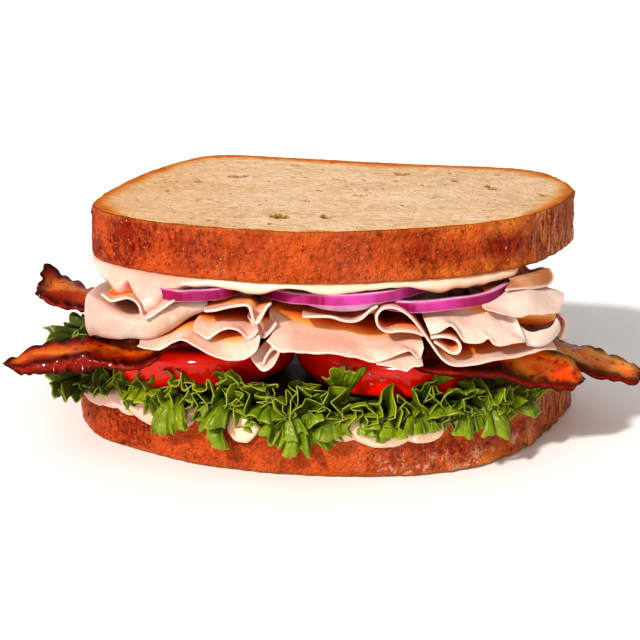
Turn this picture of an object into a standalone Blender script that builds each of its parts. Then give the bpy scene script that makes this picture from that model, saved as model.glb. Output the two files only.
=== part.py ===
"""A turkey, bacon and salad sandwich: two slices of loaf, the top one leaning back, with layers between them.

Every filling that shows at a side is its own solid and runs through the sandwich. +X is to the right, +Y to
the back, +Z up, and the origin is on the table under the middle of the bottom slice. Sizes below are in
millimetres; MM turns them into Blender's metres.
"""

import math

import bmesh
import bpy
from mathutils import Matrix, Vector

MM = 0.001

# Driving dimensions
SLICE_THICK = 14.4        # both slices of bread
CRUST_ROUND = 0.9         # rounding where the crust meets a cut face
FRONT_Y = -56.4           # front edge of the loaf outline
TOP_SLICE_Z = 54.6        # underside of the top slice at its front edge
TOP_LEAN = -3.1           # degrees: the filling is thicker in front, so the top slice leans back
CLEAR = 0.35              # gap between pieces that rest on each other
SPREAD_THICK = 1.7        # mayonnaise on the bottom slice
TOP_SPREAD_THICK = 1.0    # mayonnaise under the top slice
TOMATO_Z = 19.9           # underside of the tomato slices
TOMATO_THICK = 11.2
TOMATO_ROUND = 2.6        # rounding of a tomato slice's rim
TOMATO_RIPPLE = 0.012     # how much a slice's lobes stand out, as a share of its radius
BACK_TOMATO_SHARE = 0.95  # the back slices are this much thinner
BACON_THICK = 1.8
BACON_END_WIDTH = 0.72    # a strip's width at its ends, as a share of that along it
BACON_FREE_X = 64.0       # a strip curls from here outwards, where nothing presses it
BACON_FADE = 10.0
BACON_CURL = 1.6
BACON_CURL_RATE = 0.42    # radians of curl for each millimetre along x
RING_HIGH = 2.8
RING_WALL = 2.6

# Plan outlines, front to right, back and left, as points of a smooth closed curve
BOTTOM_OUTLINE = (
    (-31, -50), (3, -56.4), (33, -53), (53, -40), (65, -22), (73, -3), (71, 17), (61, 31),
    (22, 41), (-12, 50), (-36, 55), (-52, 46), (-65, 21), (-73, -4), (-68, -25), (-54, -38),
)
TOP_OUTLINE = (
    (-33, -50), (-2, -56.4), (33, -49), (54, -36), (67, -16), (71.5, 1), (69, 19), (59, 32),
    (24, 41), (-10, 51), (-33, 56.5), (-45, 48), (-57, 22), (-65, -9), (-65, -25), (-54, -39),
)

# Tomato slices: (centre x, centre y, radius, lobes)
TOMATOES = {
    "tomato_front_left": (-37.3, -18.3, 27.2, 5),
    "tomato_front_right": (19.8, -22.5, 28.6, 6),
    "tomato_back_left": (-33.0, 30.0, 19.5, 6),
    "tomato_back_right": (17.5, 24.0, 16.5, 5),
}

# Onion rings: (centre x, centre y, centre z, radius, rise to the right in degrees)
ONIONS = {
    "onion_ring_left": (-35.6, -40.0, 49.7, 12.8, 1.0),
    "onion_ring_middle": (4.5, -30.4, 48.8, 25.6, 2.6),
    "onion_ring_right": (27.8, -30.8, 46.8, 23.4, 3.4),
}

# Bacon strips: points (x, y, z) along the middle of each strip, and its width
BACON = {
    "bacon_front": (
        ((-90, -41, 26.5), (-80, -40, 26.6), (-71, -40, 30.0), (-62, -39.5, 32.7), (-50, -37, 33.0),
         (0, -29, 32.8), (42, -36, 33.0), (52, -39, 31.4), (62, -41, 27.0), (72, -41.5, 24.0)),
        23.0,
    ),
    "bacon_back": (
        ((-88, 28, 32.0), (-80, 24, 28.0), (-70, 20, 30.6), (-55, 17, 32.6), (0, 9, 32.6),
         (48, -3, 32.4), (58, -9, 29.6), (66, -13, 28.4), (74, -16, 26.8), (82, -18.5, 22.8), (89, -21, 18.8)),
        22.0,
    ),
}

# Turkey. Each slice's cut edge is a path (x, z), seen from the front. The edges stand out past the tomato
# along an oval, and hang there; from SHOULDER_Y the slices are pressed flatter, under the bread.
MEAT_THICK = 1.4
EDGE_REACH = 61.0         # how far the lowest edges stand forward of the middle
EDGE_HALF = 72.0          # where that oval ends, right and left
EDGE_SET_BACK = 0.25      # how much a higher edge stands back
EDGE_LOW_Z = 31.5         # the lowest edge
SHOULDER_Y = -38.0
SHOULDER_LOW_Z = 35.6     # the same edge where it is pressed
PRESS = 0.5               # spacing under the bread, as a share of that in front
TURKEY_BACK_Y = 42.0

# A slice's path, and how much higher its two ends lie at the shoulder than the pressing alone makes them
TURKEY = {
    "turkey_left_roll": (
        ((-57.5, 46.6), (-56, 49), (-52.4, 49.8), (-49.6, 47.6), (-47.6, 45.6), (-45, 46.2), (-42, 47.4)),
        (1.2, 1.2),
    ),
    "turkey_wave": (
        ((-44.5, 36.2), (-42, 36.8), (-38.2, 38.6), (-33, 36.4), (-27, 33.6), (-22.6, 34.6), (-20.2, 38.6),
         (-21.8, 41.8), (-26, 42.4), (-31, 40.4)),
        (-0.8, 0),
    ),
    "turkey_bridge": (
        ((-31, 46), (-26, 46.6), (-22, 47.4), (-20, 45), (-18.6, 43.8), (-16.4, 46.6)),
        (0, 0),
    ),
    "turkey_small_roll": (
        ((-12.9, 39.4), (-15.6, 37.8), (-17.8, 34.2), (-16.6, 31.7), (-14.6, 32), (-13.6, 34.4)),
        (0.2, 1.4),
    ),
    "turkey_middle_flap": (
        ((-11.4, 42.6), (-10, 37.4), (-2, 36.4), (6, 35.8), (13, 33.6), (18.6, 31.8), (22.4, 33.6), (20, 35.6)),
        (1.6, 0),
    ),
    "turkey_middle_fold": (
        ((-9, 46.4), (-2, 46), (3.6, 43.4), (7, 44.2), (9.2, 46.4)),
        (0, -1.2),
    ),
    "turkey_s_fold": (
        ((28.8, 41.4), (24, 44.2), (19.6, 46.1), (15, 46.6), (11.6, 44.4), (12, 41.2), (16.6, 39.6),
         (22, 39.4), (26, 36.2), (31.4, 32.8), (40, 32.2), (51, 33.6), (61, 35.4)),
        (0, 0),
    ),
    "turkey_right_flap": (
        ((29.8, 37.4), (33.8, 35.9), (37, 37.6), (36, 40.6), (33, 42.6), (30.8, 45.4)),
        (0, 0),
    ),
    "turkey_right_sheet": (
        ((39.6, 41.2), (39.9, 37.6), (44.2, 38.8), (48, 36.8), (52.6, 37.4), (50.6, 43.4), (46.5, 46.4)),
        (0.5, 0.5),
    ),
    "turkey_right_fold": (
        ((53.4, 47.2), (57.6, 46.6), (61.4, 44.8), (61.8, 41.4), (59, 39), (55.4, 39.4)),
        (0, 0),
    ),
}

# One slice is folded over towards the front: points (x, y, z) of its fold, with half the fold's height
TURKEY_DRAPE = (
    (-66.5, -33, 41.2, 3.6), (-62, -45, 40.4, 4.4), (-53, -50, 40, 3), (-44, -52, 41.8, 2),
    (-37, -52, 44.6, 1.5),
)

# Lettuce leaves: each fills a sector of the sandwich, in degrees anticlockwise from the right.
LEAF_THICK = 0.9
LEAF_Z = 18.2             # middle of a leaf where it lies flat under the tomato
LEAVES = {
    "lettuce_front_left": (150, 268),
    "lettuce_front_right": (272, 390),
    "lettuce_back": (36, 144),
}
LEAF_INNER = 0.3          # share of the bread's radius where a leaf's heart end lies
FRILL_WAVE = 6.0          # half the height of the ruffle at its free edge
FRILL_REACH = 5.4         # how far the ruffle stands out past the crust
FRILLS_PER_TURN = 27      # ruffles round the whole sandwich

CRUST = ("crust", (0.42, 0.17, 0.055), 0.75)
SPREAD = ("mayonnaise", (0.93, 0.86, 0.66), 0.3)
LETTUCE = ("lettuce", (0.20, 0.42, 0.04), 0.45)
TOMATO = ("tomato", (0.62, 0.02, 0.01), 0.2)
BACON_LOOK = ("bacon", (0.36, 0.06, 0.02), 0.3)
TURKEY_LOOK = ("turkey", (0.90, 0.68, 0.52), 0.45)
ONION = ("red_onion", (0.50, 0.03, 0.28), 0.25)


def clear_scene():
    for obj in list(bpy.data.objects):
        bpy.data.objects.remove(obj)


def material(look):
    name, colour, roughness = look
    found = bpy.data.materials.get(name)
    if found:
        return found
    made = bpy.data.materials.new(name)
    made.use_nodes = True
    shader = made.node_tree.nodes["Principled BSDF"]
    shader.inputs["Base Color"].default_value = (*colour, 1)
    shader.inputs["Roughness"].default_value = roughness
    shader.inputs["Metallic"].default_value = 0
    return made


def finish(name, bm, look, place=None):
    """Turns a bmesh in millimetres into a named object in metres."""
    bm.transform((place or Matrix.Identity(4)))
    bm.transform(Matrix.Scale(MM, 4))
    mesh = bpy.data.meshes.new(name)
    bm.to_mesh(mesh)
    bm.free()
    mesh.shade_smooth()
    mesh.set_sharp_from_angle(angle=math.radians(50))
    mesh.materials.append(material(look))
    obj = bpy.data.objects.new(name, mesh)
    bpy.context.scene.collection.objects.link(obj)
    return obj


def thicken(obj, thickness):
    """Gives a sheet its thickness, half on each side."""
    solid = obj.modifiers.new("thickness", "SOLIDIFY")
    solid.thickness = thickness * MM
    solid.offset = 0
    solid.use_even_offset = True
    return obj


def curve_through(points, count, closed=False):
    """count evenly spaced points on the smooth curve through the given ones."""
    knots = [Vector(p) for p in points]
    last = len(knots)

    def knot(i):
        if closed:
            return knots[i % last]
        if i < 0:
            return knots[0] * 2 - knots[1]
        if i >= last:
            return knots[-1] * 2 - knots[-2]
        return knots[i]

    fine = []
    spans = last if closed else last - 1
    steps = 24
    for i in range(spans):
        a, b, c, d = knot(i - 1), knot(i), knot(i + 1), knot(i + 2)
        for k in range(steps):
            t = k / steps
            fine.append(
                0.5 * (2 * b + (c - a) * t + (2 * a - 5 * b + 4 * c - d) * t**2 + (3 * b - a - 3 * c + d) * t**3)
            )
    fine.append(fine[0] if closed else knots[-1])
    lengths = [0.0]
    for p, q in zip(fine, fine[1:]):
        lengths.append(lengths[-1] + (q - p).length)
    wanted = count if closed else count - 1
    made, i = [], 0
    for k in range(count):
        along = lengths[-1] * k / wanted
        while i < len(fine) - 2 and lengths[i + 1] < along:
            i += 1
        share = (along - lengths[i]) / max(lengths[i + 1] - lengths[i], 1e-9)
        made.append(fine[i].lerp(fine[i + 1], min(max(share, 0.0), 1.0)))
    return made


def smooth_step(value):
    value = min(max(value, 0.0), 1.0)
    return value * value * (3 - 2 * value)


def sheet(columns, rows, place):
    """A grid whose vertex at column i, row j is put at place(i, j)."""
    bm = bmesh.new()
    bmesh.ops.create_grid(bm, x_segments=columns - 1, y_segments=rows - 1, size=0.5)
    for vert in bm.verts:
        i = round((vert.co.x + 0.5) * (columns - 1))
        j = round((vert.co.y + 0.5) * (rows - 1))
        vert.co = place(i, j)
    bmesh.ops.recalc_face_normals(bm, faces=bm.faces)
    return bm


def slab(outline, thickness, rounding, segments):
    """A flat closed outline given a thickness upwards, with its edges rounded."""
    bm = bmesh.new()
    floor = bm.faces.new([bm.verts.new((x, y, 0)) for x, y, *_ in outline])
    top = bmesh.ops.extrude_face_region(bm, geom=[floor])["geom"]
    raised = [v for v in top if isinstance(v, bmesh.types.BMVert)]
    bmesh.ops.translate(bm, verts=raised, vec=(0, 0, thickness))
    bmesh.ops.recalc_face_normals(bm, faces=bm.faces)
    rim = [e for e in bm.edges if abs(e.verts[0].co.z - e.verts[1].co.z) < 1e-6 * thickness + 1e-9]
    bmesh.ops.bevel(
        bm, geom=rim, offset=rounding, segments=segments, profile=0.5, affect="EDGES", material=-1
    )
    return bm


def top_slice_place():
    """The top slice turns back about its front lower edge."""
    edge = Vector((0, FRONT_Y, TOP_SLICE_Z))
    lean = Matrix.Rotation(math.radians(TOP_LEAN), 4, "X")
    return Matrix.Translation(edge) @ lean @ Matrix.Translation(Vector((0, -FRONT_Y, 0)))


def bread():
    for name, points, place in (
        ("bread_bottom", BOTTOM_OUTLINE, None),
        ("bread_top", TOP_OUTLINE, top_slice_place()),
    ):
        outline = curve_through(points, 48, closed=True)
        finish(name, slab(outline, SLICE_THICK, CRUST_ROUND, 1), CRUST, place)


def spread_outline(points, count, inset, ripple, lobes):
    """The bread's outline drawn in by inset, with lobes where the spread was pushed out."""
    made = []
    for k, p in enumerate(curve_through(points, count, closed=True)):
        turn = 2 * math.pi * k / count
        push = ripple * (math.sin(lobes * turn) + 0.5 * math.sin((lobes + 4) * turn + 1))
        flat = Vector((p.x, p.y))
        made.append(flat - flat.normalized() * (inset - push))
    return made


def mayonnaise():
    low = spread_outline(BOTTOM_OUTLINE, 44, 1.4, 0.9, 11)
    finish("mayonnaise_bottom", slab(low, SPREAD_THICK, 0.6, 1), SPREAD,
           Matrix.Translation((0, 0, SLICE_THICK + CLEAR)))
    high = spread_outline(TOP_OUTLINE, 44, 1.4, 0.7, 9)
    hung = Matrix.Translation((0, 0, -TOP_SPREAD_THICK - CLEAR))
    finish("mayonnaise_top", slab(high, TOP_SPREAD_THICK, 0.4, 1), SPREAD, top_slice_place() @ hung)


def tomatoes():
    for name, (x, y, radius, lobes) in TOMATOES.items():
        in_front = y < 0
        count = 24 if in_front else 16
        outline = []
        for k in range(count):
            turn = 2 * math.pi * k / count
            r = radius * (1 + TOMATO_RIPPLE * math.cos(lobes * turn))
            outline.append(Vector((x + r * math.cos(turn), y + r * math.sin(turn), 0)))
        thick = TOMATO_THICK if in_front else BACK_TOMATO_SHARE * TOMATO_THICK
        finish(name, slab(outline, thick, TOMATO_ROUND, 2), TOMATO, Matrix.Translation((0, 0, TOMATO_Z)))


def onion_rings():
    for name, (x, y, z, radius, rise) in ONIONS.items():
        bm = bmesh.new()
        half, wall = RING_HIGH / 2, RING_WALL / 2
        profile = ((-wall, -half), (wall * 0.8, -half), (wall, 0), (wall * 0.8, half), (-wall, half))
        verts = [bm.verts.new((radius - RING_WALL / 2 + a, 0, b)) for a, b in profile]
        edges = [bm.edges.new((verts[i], verts[(i + 1) % len(verts)])) for i in range(len(verts))]
        bmesh.ops.spin(
            bm, geom=verts + edges, cent=(0, 0, 0), axis=(0, 0, 1), angle=2 * math.pi, steps=22, use_merge=True
        )
        bmesh.ops.recalc_face_normals(bm, faces=bm.faces)
        place = Matrix.Translation((x, y, z)) @ Matrix.Rotation(math.radians(TOP_LEAN), 4, "X")
        place = place @ Matrix.Rotation(math.radians(-rise), 4, "Y")
        finish(name, bm, ONION, place)


def bacon():
    columns, rows = 28, 4
    for name, (route, width) in BACON.items():
        line = curve_through(route, columns)

        def place(i, j, line=line, width=width):
            here = line[i]
            ahead = line[min(i + 1, columns - 1)] - line[max(i - 1, 0)]
            across = Vector((-ahead.y, ahead.x, 0)).normalized()
            side = j / (rows - 1) - 0.5
            end = min(i, columns - 1 - i) / 3
            narrow = BACON_END_WIDTH + (1 - BACON_END_WIDTH) * smooth_step(end)
            free = smooth_step((abs(here.x) - BACON_FREE_X) / BACON_FADE)
            curl = free * BACON_CURL * math.sin(BACON_CURL_RATE * here.x + 4 * side)
            return here + across * side * width * narrow + Vector((0, 0, curl))

        thicken(finish(name, sheet(columns, rows, place), BACON_LOOK), BACON_THICK)


def leaned(point):
    """A filling point lowered towards the back, as the top slice leans."""
    share = (point.z - SLICE_THICK) / (TOP_SLICE_Z - SLICE_THICK)
    drop = math.tan(math.radians(-TOP_LEAN)) * (point.y - SHOULDER_Y) * share
    return point - Vector((0, 0, drop))


def edge_y(x, z):
    """How far forward a slice's cut edge stands."""
    oval = (1 - abs(x / EDGE_HALF) ** 3) ** (1 / 3)
    return -EDGE_REACH * oval + EDGE_SET_BACK * (z - EDGE_LOW_Z)


def turkey_slice(name, path, lift):
    columns = 2 * len(path) + 1
    edge = curve_through(path, columns)
    depths = (0.0, 0.5, 1.0, 1.5, 2.0)

    def place(i, j):
        x, z = edge[i]
        along = i / (columns - 1)
        pressed = SHOULDER_LOW_Z + PRESS * (z - EDGE_LOW_Z) + lift[0] + (lift[1] - lift[0]) * along
        depth = depths[j]
        if depth < 1:
            front = Vector((x, edge_y(x, z), z))
            return front.lerp(Vector((x, SHOULDER_Y, z + (pressed - z) * (2 - depth))), depth)
        back = SHOULDER_Y + (TURKEY_BACK_Y - SHOULDER_Y) * (depth - 1)
        narrow = 1 - 0.1 * (depth - 1)
        return leaned(Vector((x * narrow, back, pressed)))

    thicken(finish(name, sheet(columns, len(depths), place), TURKEY_LOOK), MEAT_THICK)


def turkey_drape():
    """The slice folded over at the left: a rounded nose towards the front, its two leaves running back."""
    columns, nose_steps = 10, 6
    fold = curve_through([point[:3] for point in TURKEY_DRAPE], columns)
    heights = curve_through([(point[0], point[3]) for point in TURKEY_DRAPE], columns)
    back_points = 2

    def place(i, j):
        middle, half = fold[i], heights[i].y
        if j < back_points:
            back, side = (1.0, 0.5)[j], -1
        elif j > back_points + nose_steps:
            back, side = (0.5, 1.0)[j - back_points - nose_steps - 1], 1
        else:
            turn = math.pi * ((j - back_points) / nose_steps - 0.5)
            nose = Vector((0, half * (1 - math.cos(turn)), half * math.sin(turn)))
            return middle + nose
        y = middle.y + half + (20 - middle.y) * back
        pressed = SHOULDER_LOW_Z + PRESS * (middle.z + side * half - EDGE_LOW_Z)
        settled = min(1.0, 2 * back)
        return leaned(Vector((middle.x * (1 - 0.1 * back), y, middle.z + side * half
                              + (pressed - middle.z - side * half) * settled)))

    rows = 2 * back_points + nose_steps + 1
    thicken(finish("turkey_left_drape", sheet(columns, rows, place), TURKEY_LOOK), MEAT_THICK)


def turkey():
    for name, (path, lift) in TURKEY.items():
        turkey_slice(name, path, lift)
    turkey_drape()


def lettuce():
    table = [(math.degrees(math.atan2(p.y, p.x)) % 360, p.length) for p in curve_through(BOTTOM_OUTLINE, 360, True)]

    def radius(angle):
        return min(table, key=lambda row: abs((row[0] - angle + 180) % 360 - 180))[1]

    columns = 44
    for name, (start, end) in LEAVES.items():

        def place(i, j, start=start, end=end):
            angle = start + (end - start) * i / (columns - 1)
            turn = math.radians(angle)
            edge = radius(angle)
            reach = (LEAF_INNER * edge, 0.9 * edge, edge + 0.4, edge + 2.8, edge + FRILL_REACH)[j]
            fade = min(1, i / 5, (columns - 1 - i) / 5)
            wave = FRILL_WAVE * fade * math.sin(turn * FRILLS_PER_TURN + 0.8 * math.sin(5 * turn))
            lift = (0, 0, 0.4 + 0.06 * wave, 1 + 0.5 * wave, 0.6 + wave)[j]
            outward = Vector((math.cos(turn), math.sin(turn), 0)) * reach
            return outward + Vector((0, 0, LEAF_Z + lift))

        thicken(finish(name, sheet(columns, 5, place), LETTUCE), LEAF_THICK)


def main():
    clear_scene()
    bread()
    mayonnaise()
    lettuce()
    tomatoes()
    bacon()
    turkey()
    onion_rings()


main()
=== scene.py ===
"""Looks for a turkey and bacon sandwich: bread, spread, lettuce, tomato, bacon, turkey and red onion.

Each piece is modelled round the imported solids, in millimetres, and turned into metres as it is finished.
"""

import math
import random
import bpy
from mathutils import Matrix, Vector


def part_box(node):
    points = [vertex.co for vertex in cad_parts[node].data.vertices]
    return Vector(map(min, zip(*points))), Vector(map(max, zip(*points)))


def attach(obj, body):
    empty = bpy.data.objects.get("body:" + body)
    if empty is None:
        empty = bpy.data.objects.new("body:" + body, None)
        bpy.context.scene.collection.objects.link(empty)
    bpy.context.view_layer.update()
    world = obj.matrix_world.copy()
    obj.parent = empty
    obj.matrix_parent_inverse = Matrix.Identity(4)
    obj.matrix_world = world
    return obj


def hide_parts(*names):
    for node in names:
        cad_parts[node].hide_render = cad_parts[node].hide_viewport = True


bl_info = {
    "name": "Turkey and bacon sandwich",
    "version": (1, 0, 0),
    "blender": (4, 5, 0),
    "location": "3D View > Sidebar > Sandwich",
    "description": "Models the bread and fillings of a turkey and bacon sandwich round its packed solids",
    "category": "Add Mesh",
}

import bmesh
import bpy
from mathutils import Matrix, Vector, noise

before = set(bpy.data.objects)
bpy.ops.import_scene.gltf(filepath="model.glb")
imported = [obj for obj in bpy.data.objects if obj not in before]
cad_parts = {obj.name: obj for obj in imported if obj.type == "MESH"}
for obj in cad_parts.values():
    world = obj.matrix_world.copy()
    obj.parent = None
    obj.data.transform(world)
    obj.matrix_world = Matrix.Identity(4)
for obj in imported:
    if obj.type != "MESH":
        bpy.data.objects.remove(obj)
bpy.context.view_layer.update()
BODY = "root"
MM = 0.001


def box_mm(node):
    low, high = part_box(node)
    return low / MM, high / MM


BOTTOM_LOW, BOTTOM_HIGH = box_mm("bread_bottom")
TOP_LOW, TOP_HIGH = box_mm("bread_top")
SLICE_THICK = BOTTOM_HIGH.z - BOTTOM_LOW.z
FRONT_Y = TOP_LOW.y
TOP_LEAN = -3.1            # degrees that the top slice leans back
TOP_SLICE_Z = TOP_HIGH.z - SLICE_THICK * math.cos(math.radians(TOP_LEAN))
SHOULDER_Y = -38.0
EDGE_REACH = 61.0
EDGE_HALF = 72.0
EDGE_SET_BACK = 0.25
EDGE_LOW_Z = 31.5
SHOULDER_LOW_Z = 35.6
PRESS = 0.5
TURKEY_BACK_Y = 42.0

BOTTOM_OUTLINE = (
    (-31, -50), (3, -56.4), (33, -53), (53, -40), (65, -22), (73, -3), (71, 17), (61, 31),
    (22, 41), (-12, 50), (-36, 55), (-52, 46), (-65, 21), (-73, -4), (-68, -25), (-54, -38),
)
TOP_OUTLINE = (
    (-33, -50), (-2, -56.4), (33, -49), (54, -36), (67, -16), (71.5, 1), (69, 19), (59, 32),
    (24, 41), (-10, 51), (-33, 56.5), (-45, 48), (-57, 22), (-65, -9), (-65, -25), (-54, -39),
)


# Shapes


def smooth_step(value):
    value = min(max(value, 0.0), 1.0)
    return value * value * (3 - 2 * value)


def ripple(point, size, seed=0.0):
    """Smooth noise from -1 to 1, with features about size millimetres across."""
    return noise.noise(Vector((point[0] / size + seed, point[1] / size, point[2] / size - seed)))


def curve_through(points, count, closed=False):
    """count evenly spaced points on the smooth curve through the given ones."""
    knots = [Vector(p) for p in points]
    last = len(knots)

    def knot(i):
        if closed:
            return knots[i % last]
        if i < 0:
            return knots[0] * 2 - knots[1]
        if i >= last:
            return knots[-1] * 2 - knots[-2]
        return knots[i]

    fine = []
    steps = 24
    for i in range(last if closed else last - 1):
        a, b, c, d = knot(i - 1), knot(i), knot(i + 1), knot(i + 2)
        for k in range(steps):
            t = k / steps
            fine.append(
                0.5 * (2 * b + (c - a) * t + (2 * a - 5 * b + 4 * c - d) * t**2 + (3 * b - a - 3 * c + d) * t**3)
            )
    fine.append(fine[0] if closed else knots[-1])
    lengths = [0.0]
    for p, q in zip(fine, fine[1:]):
        lengths.append(lengths[-1] + (q - p).length)
    made, i = [], 0
    for k in range(count):
        along = lengths[-1] * k / (count if closed else count - 1)
        while i < len(fine) - 2 and lengths[i + 1] < along:
            i += 1
        share = (along - lengths[i]) / max(lengths[i + 1] - lengths[i], 1e-9)
        made.append(fine[i].lerp(fine[i + 1], min(max(share, 0.0), 1.0)))
    return made


def path_length(points):
    fine = curve_through(points, 60)
    return sum((q - p).length for p, q in zip(fine, fine[1:]))


def between(table, share):
    """The value at share (0 to 1) along a list of evenly spaced values."""
    at = min(max(share, 0.0), 1.0) * (len(table) - 1)
    i = min(int(at), len(table) - 2)
    return table[i] + (table[i + 1] - table[i]) * (at - i)


def reading(table, x):
    """The values beside x in a table of rows (x, value, ...), on straight lines between its rows."""
    for low, high in zip(table, table[1:]):
        if x < high[0]:
            break
    share = min(max((x - low[0]) / (high[0] - low[0]), 0.0), 1.0)
    return [a + (b - a) * smooth_step(share) for a, b in zip(low[1:], high[1:])]


def sheet(columns, rows, place, marks=()):
    """A grid with UVs. place(i, j) gives a vertex's place, followed by a value for each name in marks."""
    bm = bmesh.new()
    bm.loops.layers.uv.new("UVMap")
    layers = [bm.verts.layers.float.new(mark) for mark in marks]
    bmesh.ops.create_grid(bm, x_segments=columns - 1, y_segments=rows - 1, size=0.5, calc_uvs=True)
    for vert in bm.verts:
        i = round((vert.co.x + 0.5) * (columns - 1))
        j = round((vert.co.y + 0.5) * (rows - 1))
        made = place(i, j)
        if layers:
            made, *values = made
            for layer, value in zip(layers, values):
                vert[layer] = value
        vert.co = made
    return bm


def joined_up(bm):
    """Welds the seams and poles of a closed shape, and turns its faces outwards."""
    bmesh.ops.remove_doubles(bm, verts=bm.verts, dist=1e-4)
    bmesh.ops.recalc_face_normals(bm, faces=bm.faces)
    return bm


def finish_piece(name, bm, material, slot, *nodes, place=None):
    """Turns a bmesh in millimetres into a piece in metres that stands for the named nodes."""
    if place:
        bm.transform(place)
    bm.transform(Matrix.Scale(MM, 4))
    mesh = bpy.data.meshes.new(name)
    bm.to_mesh(mesh)
    bm.free()
    mesh.shade_smooth()
    mesh.materials.append(material)
    piece = bpy.data.objects.new(name, mesh)
    bpy.context.scene.collection.objects.link(piece)
    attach(piece, BODY)
    if nodes:
        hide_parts(*nodes)
    return piece


def thicken(piece, thickness, levels=1, crease=0.5, even=True):
    """Gives a sheet its thickness in metres, half on each side, and softens it."""
    solid = piece.modifiers.new("thickness", "SOLIDIFY")
    solid.thickness = thickness
    solid.offset = 0
    solid.use_even_offset = even
    solid.edge_crease_rim = crease
    solid.thickness_clamp = 1.0
    if levels:
        soft = piece.modifiers.new("softness", "SUBSURF")
        soft.levels = levels
        soft.render_levels = levels
    return piece


def top_slice_place():
    """The top slice turns back about its front lower edge."""
    edge = Vector((0, FRONT_Y, TOP_SLICE_Z))
    lean = Matrix.Rotation(math.radians(TOP_LEAN), 4, "X")
    return Matrix.Translation(edge) @ lean @ Matrix.Translation(Vector((0, -FRONT_Y, 0)))


# Materials


def add_node(tree, kind, inputs=None, **settings):
    """Adds a node, sets it up, and gives each named input a value or joins it to a socket."""
    node = tree.nodes.new(kind)
    for name, value in settings.items():
        setattr(node, name, value)
    for name, value in (inputs or {}).items():
        if isinstance(value, bpy.types.NodeSocket):
            tree.links.new(value, node.inputs[name])
        else:
            node.inputs[name].default_value = value
    return node


def ramp(tree, value, stops, smooth=False):
    node = add_node(tree, "ShaderNodeValToRGB", {"Fac": value})
    node.color_ramp.interpolation = "EASE" if smooth else "LINEAR"
    elements = node.color_ramp.elements
    while len(elements) < len(stops):
        elements.new(0.5)
    for element, (at, colour) in zip(elements, stops):
        element.position = at
        element.color = (*colour, 1) if len(colour) == 3 else colour
    return node.outputs["Color"]


def mask(tree, value, low, high):
    """0 where value is under low, rising to 1 at high."""
    node = add_node(tree, "ShaderNodeMapRange", {"Value": value, "From Min": low, "From Max": high})
    return node.outputs["Result"]


def mix(tree, share, first, second, blend="MIX"):
    node = add_node(tree, "ShaderNodeMix", data_type="RGBA", blend_type=blend)
    for socket, value in ((node.inputs[0], share), (node.inputs[6], first), (node.inputs[7], second)):
        if isinstance(value, bpy.types.NodeSocket):
            tree.links.new(value, socket)
        elif isinstance(value, (float, int)):
            socket.default_value = value
        else:
            socket.default_value = (*value, 1)
    return node.outputs[2]


def maths(tree, operation, first, second=0.0):
    node = add_node(tree, "ShaderNodeMath", {0: first, 1: second}, operation=operation)
    return node.outputs[0]


def attribute(tree, name):
    return add_node(tree, "ShaderNodeAttribute", attribute_name=name).outputs["Fac"]


def new_group(name, inputs, outputs):
    group = bpy.data.node_groups.new(name, "ShaderNodeTree")
    for label, kind, default in inputs:
        socket = group.interface.new_socket(label, in_out="INPUT", socket_type=kind)
        if default is not None:
            socket.default_value = default
    for label, kind in outputs:
        group.interface.new_socket(label, in_out="OUTPUT", socket_type=kind)
    return group, group.nodes.new("NodeGroupInput").outputs, group.nodes.new("NodeGroupOutput").inputs


def mottle_group():
    """Two colours mixed by fractal noise."""
    name = "mottle"
    if name in bpy.data.node_groups:
        return bpy.data.node_groups[name]
    group, given, made = new_group(
        name,
        (("Vector", "NodeSocketVector", None), ("Scale", "NodeSocketFloat", 400.0),
         ("Contrast", "NodeSocketFloat", 0.15), ("Low", "NodeSocketColor", None), ("High", "NodeSocketColor", None)),
        (("Color", "NodeSocketColor"), ("Value", "NodeSocketFloat")),
    )
    grain = add_node(group, "ShaderNodeTexNoise", {
        "Vector": given["Vector"], "Scale": given["Scale"], "Detail": 4.0, "Roughness": 0.6})
    low = maths(group, "SUBTRACT", 0.5, given["Contrast"])
    high = maths(group, "ADD", 0.5, given["Contrast"])
    spread = add_node(group, "ShaderNodeMapRange", {
        "Value": grain.outputs["Fac"], "From Min": low, "From Max": high}).outputs["Result"]
    group.links.new(mix(group, spread, given["Low"], given["High"]), made["Color"])
    group.links.new(spread, made["Value"])
    return group


def speckle_group():
    """Small scattered spots, each of its own size."""
    name = "speckle"
    if name in bpy.data.node_groups:
        return bpy.data.node_groups[name]
    group, given, made = new_group(
        name,
        (("Vector", "NodeSocketVector", None), ("Scale", "NodeSocketFloat", 600.0),
         ("Size", "NodeSocketFloat", 0.2), ("Share", "NodeSocketFloat", 0.3)),
        (("Mask", "NodeSocketFloat"),),
    )
    warp = add_node(group, "ShaderNodeTexNoise", {"Vector": given["Vector"], "Scale": given["Scale"]})
    shift = add_node(group, "ShaderNodeVectorMath", {0: warp.outputs["Color"]}, operation="SCALE")
    group.links.new(maths(group, "DIVIDE", 0.9, given["Scale"]), shift.inputs["Scale"])
    moved = add_node(group, "ShaderNodeVectorMath", {0: given["Vector"], 1: shift.outputs[0]}, operation="ADD")
    cells = add_node(group, "ShaderNodeTexVoronoi", {"Vector": moved.outputs[0], "Scale": given["Scale"]})
    random = add_node(group, "ShaderNodeSeparateColor", {"Color": cells.outputs["Color"]})
    chosen = maths(group, "LESS_THAN", random.outputs["Red"], given["Share"])
    reach = maths(group, "MULTIPLY", given["Size"], maths(group, "ADD", random.outputs["Green"], 0.5))
    near = maths(group, "SUBTRACT", 1.0, maths(group, "DIVIDE", cells.outputs["Distance"], reach))
    spot = add_node(group, "ShaderNodeMapRange", {"Value": near, "From Min": 0.0, "From Max": 0.35}).outputs[0]
    group.links.new(maths(group, "MULTIPLY", spot, chosen), made["Mask"])
    return group


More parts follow.
